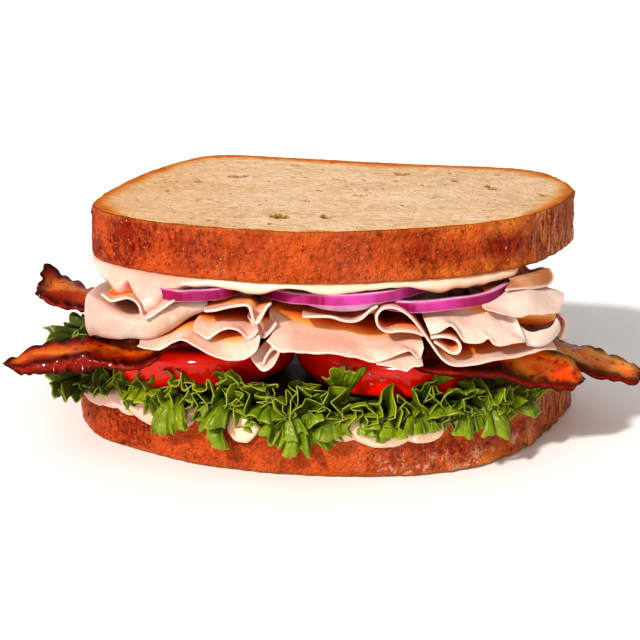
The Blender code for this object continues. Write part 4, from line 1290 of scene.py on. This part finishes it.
def leaned(point):
    """A filling point lowered towards the back, as the top slice leans."""
    share = (point.z - SLICE_THICK) / (TOP_SLICE_Z - SLICE_THICK)
    drop = math.tan(math.radians(-TOP_LEAN)) * (point.y - SHOULDER_Y) * share
    return point - Vector((0, 0, drop))


def through(knots, at):
    """A point on the smooth curve through the knots: at is 0 at the first and 1 more at each next one."""
    last = len(knots) - 1
    i = min(int(at), max(last - 1, 0))
    t = at - i
    if last == 0:
        return knots[0].copy()
    b, c = knots[i], knots[i + 1]
    a = knots[i - 1] if i else b * 2 - c
    d = knots[i + 2] if i + 2 <= last else c * 2 - b
    return 0.5 * (2 * b + (c - a) * t + (2 * a - 5 * b + 4 * c - d) * t**2 + (3 * b - a - 3 * c + d) * t**3)


def turkey_sheet(shade_from, sections, seed, brown_tone_and_shadow=0.0):
    """One thickness of turkey: its sections joined smoothly, then pressed flat and run on to the back."""
    length = path_length(sections[0])
    columns = max(14, int(length / 0.8))
    lines = [curve_through(section, columns) for section in sections]
    steps = 7
    front_rows = steps * (len(sections) - 1) + 1
    back_rows = 20
    rows = front_rows + back_rows

    def place(i, j):
        knots = [line[i] for line in lines]
        along = i / (columns - 1)
        edge, last = knots[0], knots[-1]
        shade_start = shade_from[0] + (shade_from[1] - shade_from[0]) * along
        at = along * length
        if j < front_rows:
            point = through(knots, j / steps)
            inward = (point - edge).length
            soft = smooth_step(inward / 3)
            point.z += 0.4 * soft * ripple(point, 9, seed) + 0.12 * soft * ripple(point, 3, seed + 1)
            point.x += 0.4 * soft * ripple(point, 12, seed + 2)
            if len(knots) > 1:
                ahead = (through(knots, 0.15) - edge).normalized()
                ragged = 0.4 * ripple((at, 0, 0), 3.6, seed) + 0.22 * ripple((at, 5, 0), 1.2, seed)
                point += ahead * ragged * smooth_step(1 - inward / 2.5)
            else:
                point.y += 0.3 * ripple((at, 0, 0), 3, seed)
        else:
            back = (j - front_rows + 1) / back_rows
            y = last.y + (TURKEY_BACK_Y - last.y) * back**1.3
            settled = smooth_step((y - last.y) / 24)
            pressed = SHOULDER_LOW_Z + PRESS * (edge.z - EDGE_LOW_Z)
            point = Vector((last.x * (1 - 0.1 * back), y, last.z + (pressed - last.z) * settled))
            if y > SHOULDER_Y:
                point = leaned(point)
            point.z += 0.5 * ripple(point, 14, seed) * (1 - abs(2 * back - 1))
            inward = (last - edge).length + min(y - last.y, TURKEY_BACK_Y - y + 3)
        # painted fold shade: it grows over 7 mm inwards, at the front and away from the outer ends
        at_front = smooth_step((-point.y - 34) / 10)
        outer = max(smooth_step((abs(point.x) - 40) / 12), smooth_step((point.y - 24) / 10))
        fold_shade_share = smooth_step((inward - shade_start) / 7) * max(at_front, 1 - outer)
        return point, inward, fold_shade_share, brown_tone_and_shadow

    return sheet(columns, rows, place, ("inward", "fold_shade", "brown_tone_and_shadow"))


def turkey_slice(name, material, thickness, seed):
    sheets = [turkey_sheet(shade_from, sections, seed + k, *brown_tone_and_shadow)
              for k, (shade_from, sections, *brown_tone_and_shadow) in enumerate(TURKEY[name])]
    piece = finish_piece(name, join_bmeshes(sheets), material, "turkey", name)
    return thicken(piece, thickness * (1.6 if name == "turkey_s_fold" else 1.0), 1, 0.4)


def turkey_drape(material, thickness, seed):
    columns, nose_steps, back_points = 56, 20, 14
    fold = curve_through([point[:3] for point in TURKEY_DRAPE], columns)
    heights = curve_through([(point[0], point[3]) for point in TURKEY_DRAPE], columns)

    def place(i, j):
        middle, half = fold[i], heights[i].y
        if j < back_points:
            back, side = 1 - j / back_points, -1
        elif j > back_points + nose_steps:
            back, side = (j - back_points - nose_steps) / back_points, 1
        else:
            turn = math.pi * ((j - back_points) / nose_steps - 0.5)
            bulge = min(half, 3.4)
            point = middle + Vector((0, bulge * (1 - math.cos(turn)), half * math.sin(turn)))
            point += Vector((0, 0.9, 0.3)) * ripple(point, 8, seed) + Vector((0, 0.35, 0.1)) * ripple(point, 3.4, seed)
            return point, 3.0, 0.0, 0.0
        y = middle.y + min(half, 3.4) + (20 - middle.y) * back
        pressed = SHOULDER_LOW_Z + PRESS * (middle.z + side * half - EDGE_LOW_Z)
        settled = min(1.0, 2 * back)
        level = middle.z + side * half
        point = Vector((middle.x * (1 - 0.1 * back), y, level + (pressed - level) * settled))
        point.z += 0.6 * math.sin(math.pi * back) * ripple(point, 9, seed)
        inward = 60 * back
        return leaned(point), 3 + inward, 0.0, 0.0

    rows = 2 * back_points + nose_steps + 1
    bm = sheet(columns, rows, place, ("inward", "fold_shade", "brown_tone_and_shadow"))
    piece = finish_piece("turkey_left_drape", bm, material, "turkey", "turkey_left_drape")
    return thicken(piece, thickness, 1, 0.4)


# Onion


ONIONS = {
    "onion_ring_left": (-35.6, -40.0, 49.7, 12.8, 1.0),
    "onion_ring_middle": (4.5, -30.4, 48.8, 25.6, 2.6),
    "onion_ring_right": (27.8, -30.8, 46.8, 23.4, 3.4),
}
RING_HIGH = 2.8
RING_WALL = 2.6


def onion_ring(name, material, seed):
    x, y, z, radius, rise = ONIONS[name]
    columns = int(radius * 9)
    half, wall = RING_HIGH / 2 + 0.15, 1.7
    # (distance in from the outside, height, how much it is skin)
    profile = ((wall, -half, 0), (0.5, -half, 0), (0.14, -half + 0.04, 0.1), (0.0, -half + 0.2, 0.9),
               (-0.1, -half * 0.5, 1), (-0.14, 0.0, 1), (-0.1, half * 0.5, 1), (0.0, half - 0.2, 0.9),
               (0.14, half - 0.04, 0.1), (0.5, half, 0), (wall, half, 0), (wall + 0.05, 0.0, 0), (wall, -half, 0))

    def place(i, j):
        turn = 2 * math.pi * (i % columns) / columns
        into, up, skin = profile[j]
        around = (math.cos(turn), math.sin(turn), 0)
        r = radius - into + 0.5 * ripple(around, 0.6, seed) + 0.12 * ripple(around, 0.12, seed)
        height = (up + half) / (2 * half)
        lift = 0.35 * ripple(around, 0.5, seed + 2)
        high = up * (1 + 0.12 * ripple(around, 0.3, seed + 4)) + lift
        return Vector((r * math.cos(turn), r * math.sin(turn), high)), float(skin), height

    parts = [joined_up(sheet(columns + 1, len(profile), place, ("skin", "height")))]
    if name == "onion_ring_middle":
        parts.append(onion_layer(radius - wall))
    where = Matrix.Translation((x, y, z)) @ Matrix.Rotation(math.radians(TOP_LEAN), 4, "X")
    where = where @ Matrix.Rotation(math.radians(-rise), 4, "Y")
    return finish_piece(name, join_bmeshes(parts), material, "red_onion", name, place=where)


def onion_layer(radius):
    """A loose inner layer of the onion, which hangs below the front of its ring."""
    columns, rows, start, end, deep = 80, 13, -124.0, -52.0, 3.4
    profile = ((0.0, 1.2, 0), (0.0, -1.0, 0), (0.05, -2.2, 0), (0.25, -3.0, 0), (0.5, -deep, 0), (0.8, -deep, 0),
               (1.0, -3.0, 0), (1.05, -2.2, 0), (1.1, -1.0, 0), (1.1, 0.4, 0), (1.1, 1.2, 0), (0.5, 1.3, 0),
               (0.0, 1.2, 0))

    def place(i, j):
        share = i / (columns - 1)
        turn = math.radians(start + (end - start) * share)
        into, up, skin = profile[j]
        sag = math.sin(math.pi * share) ** 0.7
        r = radius - into * max(sag, 0.05) + 0.4 * sag
        level = up * sag if up < 0 else up * max(sag, 0.2)
        return Vector((r * math.cos(turn), r * math.sin(turn), level)), 0.0, 0.5

    return joined_up(sheet(columns, rows, place, ("skin", "height")))


# Droplets, bran and crumbs

# (x, y, z, radius, way out from the surface) of the largest droplets on the front tomato slices
DROPLETS = (
    (10.8, -49.8, 27.4, 0.75, (-0.3, -0.95, 0.2)), (14.2, -50.5, 26.0, 0.6, (-0.2, -0.98, 0.0)),
    (11.6, -50.0, 24.6, 0.55, (-0.3, -0.95, -0.1)), (18.5, -50.9, 27.0, 0.5, (0, -0.98, 0.2)),
    (25.5, -50.3, 25.4, 0.55, (0.2, -0.97, 0.0)), (-29.6, -44.6, 27.2, 0.6, (0.3, -0.94, 0.2)),
    (-40.2, -45.2, 26.4, 0.5, (-0.1, -0.98, 0.1)),
)


def droplets(material):
    bm = bmesh.new()
    small = random.Random(4)
    places = [(Vector(row[:3]), row[3], Vector(row[4])) for row in DROPLETS]
    for centre_x, centre_y, radius in ((19.8, -22.5, 24), (-37.3, -18.3, 22.5)):
        for _ in range(14):
            turn = math.radians(small.uniform(200, 340))
            out = radius * small.uniform(0.9, 1.0)
            spot = Vector((centre_x + out * math.cos(turn), centre_y + out * math.sin(turn), 31.0))
            places.append((spot, small.uniform(0.18, 0.42), Vector((0, 0, 1))))
    for spot, radius, out in places:
        turned = out.normalized().to_track_quat("Z", "Y").to_matrix().to_4x4()
        place = Matrix.Translation(spot) @ turned @ Matrix.Diagonal((radius, radius, radius * 0.55, 1))
        bmesh.ops.create_uvsphere(bm, u_segments=16, v_segments=10, radius=1, matrix=place)
    piece = finish_piece("droplets", bm, material, "tomato")
    return piece


def scattered_on_crust(name, material, count, size, seed, slices):
    """Small flakes lying on the crust, each a few faces."""
    bm = bmesh.new()
    chance = random.Random(seed)
    for outline, place in slices:
        edge = [Vector((point.x, point.y, 0)) for point in curve_through(outline, 720, closed=True)]
        for _ in range(count):
            k = chance.randrange(720)
            ahead = edge[(k + 1) % 720] - edge[k - 1]
            outward = Vector((ahead.y, -ahead.x, 0)).normalized()
            if outward.dot(edge[k]) < 0:
                outward = -outward
            height = SLICE_THICK * chance.uniform(0.06, 0.94)
            spot = edge[k] + outward * 0.12 + Vector((0, 0, height))
            long = size * chance.uniform(0.5, 1.3)
            turned = outward.to_track_quat("Z", "Y").to_matrix().to_4x4()
            spun = Matrix.Rotation(chance.uniform(0, math.pi), 4, "Z")
            flat = Matrix.Diagonal((long, long * chance.uniform(0.4, 0.9), 0.13, 1))
            bmesh.ops.create_icosphere(bm, subdivisions=1, radius=1, matrix=place @ Matrix.Translation(spot) @ turned
                                       @ spun @ flat)
    return finish_piece(name, bm, material, "crust")


def flake_material(name, dark, light):
    made, tree, shader, where = new_material(name)
    colour = mottle(tree, where, 700, 0.2, dark, light).outputs["Color"]
    set_shader(tree, shader, Base_Color=colour, Roughness=0.6, Specular_IOR_Level=0.1)
    return made


# Settings


def colour_property(name, description, default):
    return bpy.props.FloatVectorProperty(
        name=name, description=description, default=default, min=0, max=1, size=3, subtype="COLOR")


def length_property(name, description, default):
    return bpy.props.FloatProperty(
        name=name, description=description, default=default, min=0.0001, max=0.01, precision=5, subtype="DISTANCE")


class SandwichSettings(bpy.types.PropertyGroup):
    crust_tint: colour_property("Crust", "Colour that the browned crust is multiplied by", (0.80, 0.72, 0.93))
    crumb_tint: colour_property("Crumb", "Colour that the cut crumb is multiplied by", (0.95, 0.97, 1.0))
    mayonnaise_tint: colour_property("Mayonnaise", "Colour that the spread is multiplied by", (0.95, 0.79, 0.80))
    lettuce_tint: colour_property("Lettuce", "Colour that the leaves are multiplied by", (1.0, 0.92, 0.85))
    tomato_tint: colour_property("Tomato", "Colour that the tomato is multiplied by", (1.0, 1.0, 1.0))
    bacon_tint: colour_property("Bacon", "Colour that the bacon is multiplied by", (0.95, 0.90, 0.80))
    turkey_tint: colour_property("Turkey", "Colour that the turkey is multiplied by", (0.92, 0.91, 0.97))
    onion_tint: colour_property("Red onion", "Colour that the onion is multiplied by", (0.85, 0.64, 0.90))
    lettuce_thickness: length_property("Leaf thickness", "Thickness of a leaf of lettuce", 0.0003)
    bacon_thickness: length_property("Bacon thickness", "Thickness of a strip of bacon", 0.0015)
    turkey_thickness: length_property("Turkey thickness", "Thickness of a slice of turkey", 0.0012)
    bran_size: length_property("Bran flake size", "Half the width of a flake of bran", 0.00042)
    crumb_size: length_property("Crumb size", "Half the width of a pale crumb", 0.00022)
    bran_count: bpy.props.IntProperty(
        name="Bran flakes", description="Flakes of bran on the crust of each slice", default=420, min=0, max=900)
    crumb_count: bpy.props.IntProperty(
        name="Pale crumbs", description="Pale crumbs on the crust of each slice", default=110, min=0, max=900)
    lens: bpy.props.FloatProperty(
        name="Lens", description="Focal length of the camera, on a 36 mm sensor", default=90.0, min=20, max=200)
    camera_tilt: bpy.props.FloatProperty(
        name="Camera tilt", description="How far the camera looks down", default=math.radians(19.0), subtype="ANGLE")
    key_strength: bpy.props.FloatProperty(
        name="Key light", description="Strength of the light from the front left", default=2.3, min=0)
    fill_strength: bpy.props.FloatProperty(
        name="Fill light", description="Strength of the low light from the front", default=0.5, min=0)
    sky_strength: bpy.props.FloatProperty(
        name="Sky light", description="Strength of the light from all round", default=0.46, min=0)


class SANDWICH_OT_stage(bpy.types.Operator):
    """Adds the floor, the lights and the camera"""

    bl_idname = "sandwich.stage"
    bl_label = "Stage"

    def execute(self, context):
        scene = context.scene
        settings = scene.sandwich
        scene.view_settings.view_transform = "Standard"
        scene.view_settings.look = "High Contrast"
        bm = bmesh.new()
        bmesh.ops.create_grid(bm, x_segments=8, y_segments=8, size=3)
        mesh = bpy.data.meshes.new("floor")
        bm.to_mesh(mesh)
        bm.free()
        floor = bpy.data.objects.new("floor", mesh)
        floor.location.z = -0.0003
        scene.collection.objects.link(floor)
        made, tree, shader, where = new_material("table_top")
        tone = mottle(tree, where, 3, 0.3, (0.90, 0.90, 0.90), (0.92, 0.92, 0.92)).outputs["Color"]
        set_shader(tree, shader, Base_Color=tone, Roughness=0.6)
        mesh.materials.append(made)

        world = bpy.data.worlds.new("studio")
        world.use_nodes = True
        sky = world.node_tree.nodes["Background"].inputs
        sky["Color"].default_value = (1.0, 0.965, 0.935, 1.0)
        sky["Strength"].default_value = settings.sky_strength
        scene.world = world

        key = bpy.data.lights.new("key", "SUN")
        key.energy = settings.key_strength
        key.angle = math.radians(5)
        key.color = (1.0, 0.97, 0.92)
        light = bpy.data.objects.new("key", key)
        light.rotation_euler = Vector((0.51, 0.57, -0.64)).to_track_quat("-Z", "Y").to_euler()
        scene.collection.objects.link(light)

        fill = bpy.data.lights.new("fill", "SUN")
        fill.energy = settings.fill_strength
        fill.angle = math.radians(7)
        fill.color = (1.0, 0.96, 0.92)
        light = bpy.data.objects.new("fill", fill)
        light.rotation_euler = Vector((0.22, 0.95, -0.20)).to_track_quat("-Z", "Y").to_euler()
        scene.collection.objects.link(light)

        camera = bpy.data.cameras.new("camera")
        camera.lens = settings.lens
        camera.sensor_width = 36
        view = bpy.data.objects.new("camera", camera)
        view.location = (-0.0023, -0.452, 0.1813)
        view.rotation_euler = (math.pi / 2 - settings.camera_tilt, 0, 0)
        scene.collection.objects.link(view)
        scene.camera = view
        return {"FINISHED"}


class SANDWICH_OT_bread(bpy.types.Operator):
    """Adds both slices of bread"""

    bl_idname = "sandwich.bread"
    bl_label = "Bread"

    def execute(self, context):
        settings = context.scene.sandwich
        material = bread_material(settings)
        holes = ((-13, -38, 2.6, 3.2, 0.0), (-0.7, -38, 1.3, 2.8, 0.3), (-6, -17, 1.0, 1.6, 0.9),
                 (48, 2, 1.4, 4.6, 0.35), (38.5, 13, 1.1, 1.8, -0.3), (-27, 20, 3.3, 2.2, 0.1),
                 (23, 23.5, 2.6, 3.2, 0.1), (62, -9, 1.2, 2.0, 0), (9.4, -9, 2.4, 1.3, 0),
                 (-38, 12, 1.6, 1.2, 0.9), (-30, -18, 1.2, 0.9, 0.4), (29, 5, 2.0, 1.2, 0.1),
                 (-9, 38, 2.4, 1.4, 0.0), (5, 14, 2.2, 1.0, 0.0), (-46, -2, 1.2, 1.0, 0.0))
        bread_slice("bread_top", TOP_OUTLINE, (190, 150, 22), holes, top_slice_place(), material, 0.9,
                    lambda point: 0.05)
        bread_slice("bread_bottom", BOTTOM_OUTLINE, (170, 130, 24), (), None, material, 0.9,
                    lambda point: smooth_step((point.x - 2) / 20) * smooth_step((2 - point.z) / 6) * smooth_step(-point.y / 30))
        return {"FINISHED"}


class SANDWICH_OT_spreads(bpy.types.Operator):
    """Adds the mayonnaise on the bottom slice and under the top one"""

    bl_idname = "sandwich.spreads"
    bl_label = "Mayonnaise"

    def execute(self, context):
        settings = context.scene.sandwich
        material = spread_material(settings)
        spread_on_bottom(material)
        spread_under_top(material)
        return {"FINISHED"}


class SANDWICH_OT_lettuce(bpy.types.Operator):
    """Adds the leaves of lettuce"""

    bl_idname = "sandwich.lettuce"
    bl_label = "Lettuce"

    def execute(self, context):
        settings = context.scene.sandwich
        material = lettuce_material(settings)
        leaves = {
            "lettuce_front_left": (150, 270, 1.0),
            "lettuce_front_right": (268, 386, 2.7),
            "lettuce_back": (40, 142, 4.4),
        }
        table = edge_table(BOTTOM_OUTLINE)
        for name, (start, end, seed) in leaves.items():
            frills = [
                lettuce_frill(start, end, 16.9, 8.0, 0.35, seed + 0.23, -4, 34),
                lettuce_frill(start + 3, end - 3, 18.4, 9.0, 0.35, seed + 0.37, 26, 30),
            ]
            for number, lobe in enumerate(LETTUCE_LOBES[name]):
                x, *shape = lobe
                frills.append(lettuce_lobe(front_angle(table, x), *shape, seed + 1.7 * number))
            for number, (degrees, long) in enumerate(LETTUCE_SIDES[name]):
                swing = ripple((degrees, seed, 0), 9)
                frills.append(lettuce_lobe(degrees, 4, 18 + 2 * swing, 10 + 25 * swing, -15 + 50 * swing, long, 95, 0.2 * long,
                                           20 * swing, seed + 2.3 * number))
            piece = finish_piece(name, join_bmeshes(frills), material, "lettuce", name)
            thicken(piece, settings.lettuce_thickness, 0, 0, even=False)
        return {"FINISHED"}


class SANDWICH_OT_tomatoes(bpy.types.Operator):
    """Adds the slices of tomato"""

    bl_idname = "sandwich.tomatoes"
    bl_label = "Tomatoes"

    def execute(self, context):
        settings = context.scene.sandwich
        material = tomato_material(settings)
        for seed, (name, lobes) in enumerate((("tomato_front_left", 5), ("tomato_front_right", 6),
                                              ("tomato_back_left", 6), ("tomato_back_right", 5))):
            tomato_slice(name, material, lobes, float(seed))
        return {"FINISHED"}


class SANDWICH_OT_bacon(bpy.types.Operator):
    """Adds the strips of bacon"""

    bl_idname = "sandwich.bacon"
    bl_label = "Bacon"

    def execute(self, context):
        settings = context.scene.sandwich
        material = bacon_material(settings)
        for seed, name in enumerate(BACON):
            bacon_strip(name, material, settings.bacon_thickness, 1.0 + 3 * seed)
        return {"FINISHED"}


class SANDWICH_OT_turkey(bpy.types.Operator):
    """Adds the folded slices of turkey"""

    bl_idname = "sandwich.turkey"
    bl_label = "Turkey"

    def execute(self, context):
        settings = context.scene.sandwich
        material = turkey_material(settings)
        for seed, name in enumerate(TURKEY):
            turkey_slice(name, material, settings.turkey_thickness, 1.3 * seed)
        turkey_drape(material, settings.turkey_thickness * 1.15, 5.0)
        return {"FINISHED"}


class SANDWICH_OT_crumbs(bpy.types.Operator):
    """Adds the droplets on the tomatoes and the bran and crumbs on the crust"""

    bl_idname = "sandwich.crumbs"
    bl_label = "Droplets, bran and crumbs"

    def execute(self, context):
        settings = context.scene.sandwich
        droplets(water_material())
        slices = ((TOP_OUTLINE, top_slice_place()), (BOTTOM_OUTLINE, Matrix.Identity(4)))
        bran = flake_material("bran", (0.16, 0.02, 0.006), (0.40, 0.10, 0.03))
        crumbs = flake_material("crumbs", (0.56, 0.25, 0.09), (0.76, 0.44, 0.22))
        scattered_on_crust("bran_flakes", bran, settings.bran_count, settings.bran_size / MM, 5, slices)
        scattered_on_crust("pale_crumbs", crumbs, settings.crumb_count, settings.crumb_size / MM, 6, slices)
        return {"FINISHED"}


class SANDWICH_OT_onion(bpy.types.Operator):
    """Adds the rings of red onion"""

    bl_idname = "sandwich.onion"
    bl_label = "Red onion"

    def execute(self, context):
        settings = context.scene.sandwich
        material = onion_material(settings)
        for seed, name in enumerate(ONIONS):
            onion_ring(name, material, 2.0 * seed)
        return {"FINISHED"}


OPERATORS = (
    SANDWICH_OT_stage, SANDWICH_OT_bread, SANDWICH_OT_spreads, SANDWICH_OT_lettuce, SANDWICH_OT_tomatoes,
    SANDWICH_OT_bacon, SANDWICH_OT_turkey, SANDWICH_OT_onion, SANDWICH_OT_crumbs,
)


class SANDWICH_PT_panel(bpy.types.Panel):
    bl_label = "Sandwich"
    bl_idname = "SANDWICH_PT_panel"
    bl_space_type = "VIEW_3D"
    bl_region_type = "UI"
    bl_category = "Sandwich"

    def draw(self, context):
        for name in SandwichSettings.__annotations__:
            self.layout.prop(context.scene.sandwich, name)
        for operator in OPERATORS:
            self.layout.operator(operator.bl_idname)


def register():
    for made in (SandwichSettings, *OPERATORS, SANDWICH_PT_panel):
        bpy.utils.register_class(made)
    bpy.types.Scene.sandwich = bpy.props.PointerProperty(type=SandwichSettings)


def unregister():
    del bpy.types.Scene.sandwich
    for made in reversed((SandwichSettings, *OPERATORS, SANDWICH_PT_panel)):
        bpy.utils.unregister_class(made)


def main():
    register()
    bpy.ops.sandwich.stage()
    bpy.ops.sandwich.bread()
    bpy.ops.sandwich.spreads()
    bpy.ops.sandwich.lettuce()
    bpy.ops.sandwich.tomatoes()
    bpy.ops.sandwich.bacon()
    bpy.ops.sandwich.turkey()
    bpy.ops.sandwich.onion()
    bpy.ops.sandwich.crumbs()


if __name__ == "__main__":
    main()
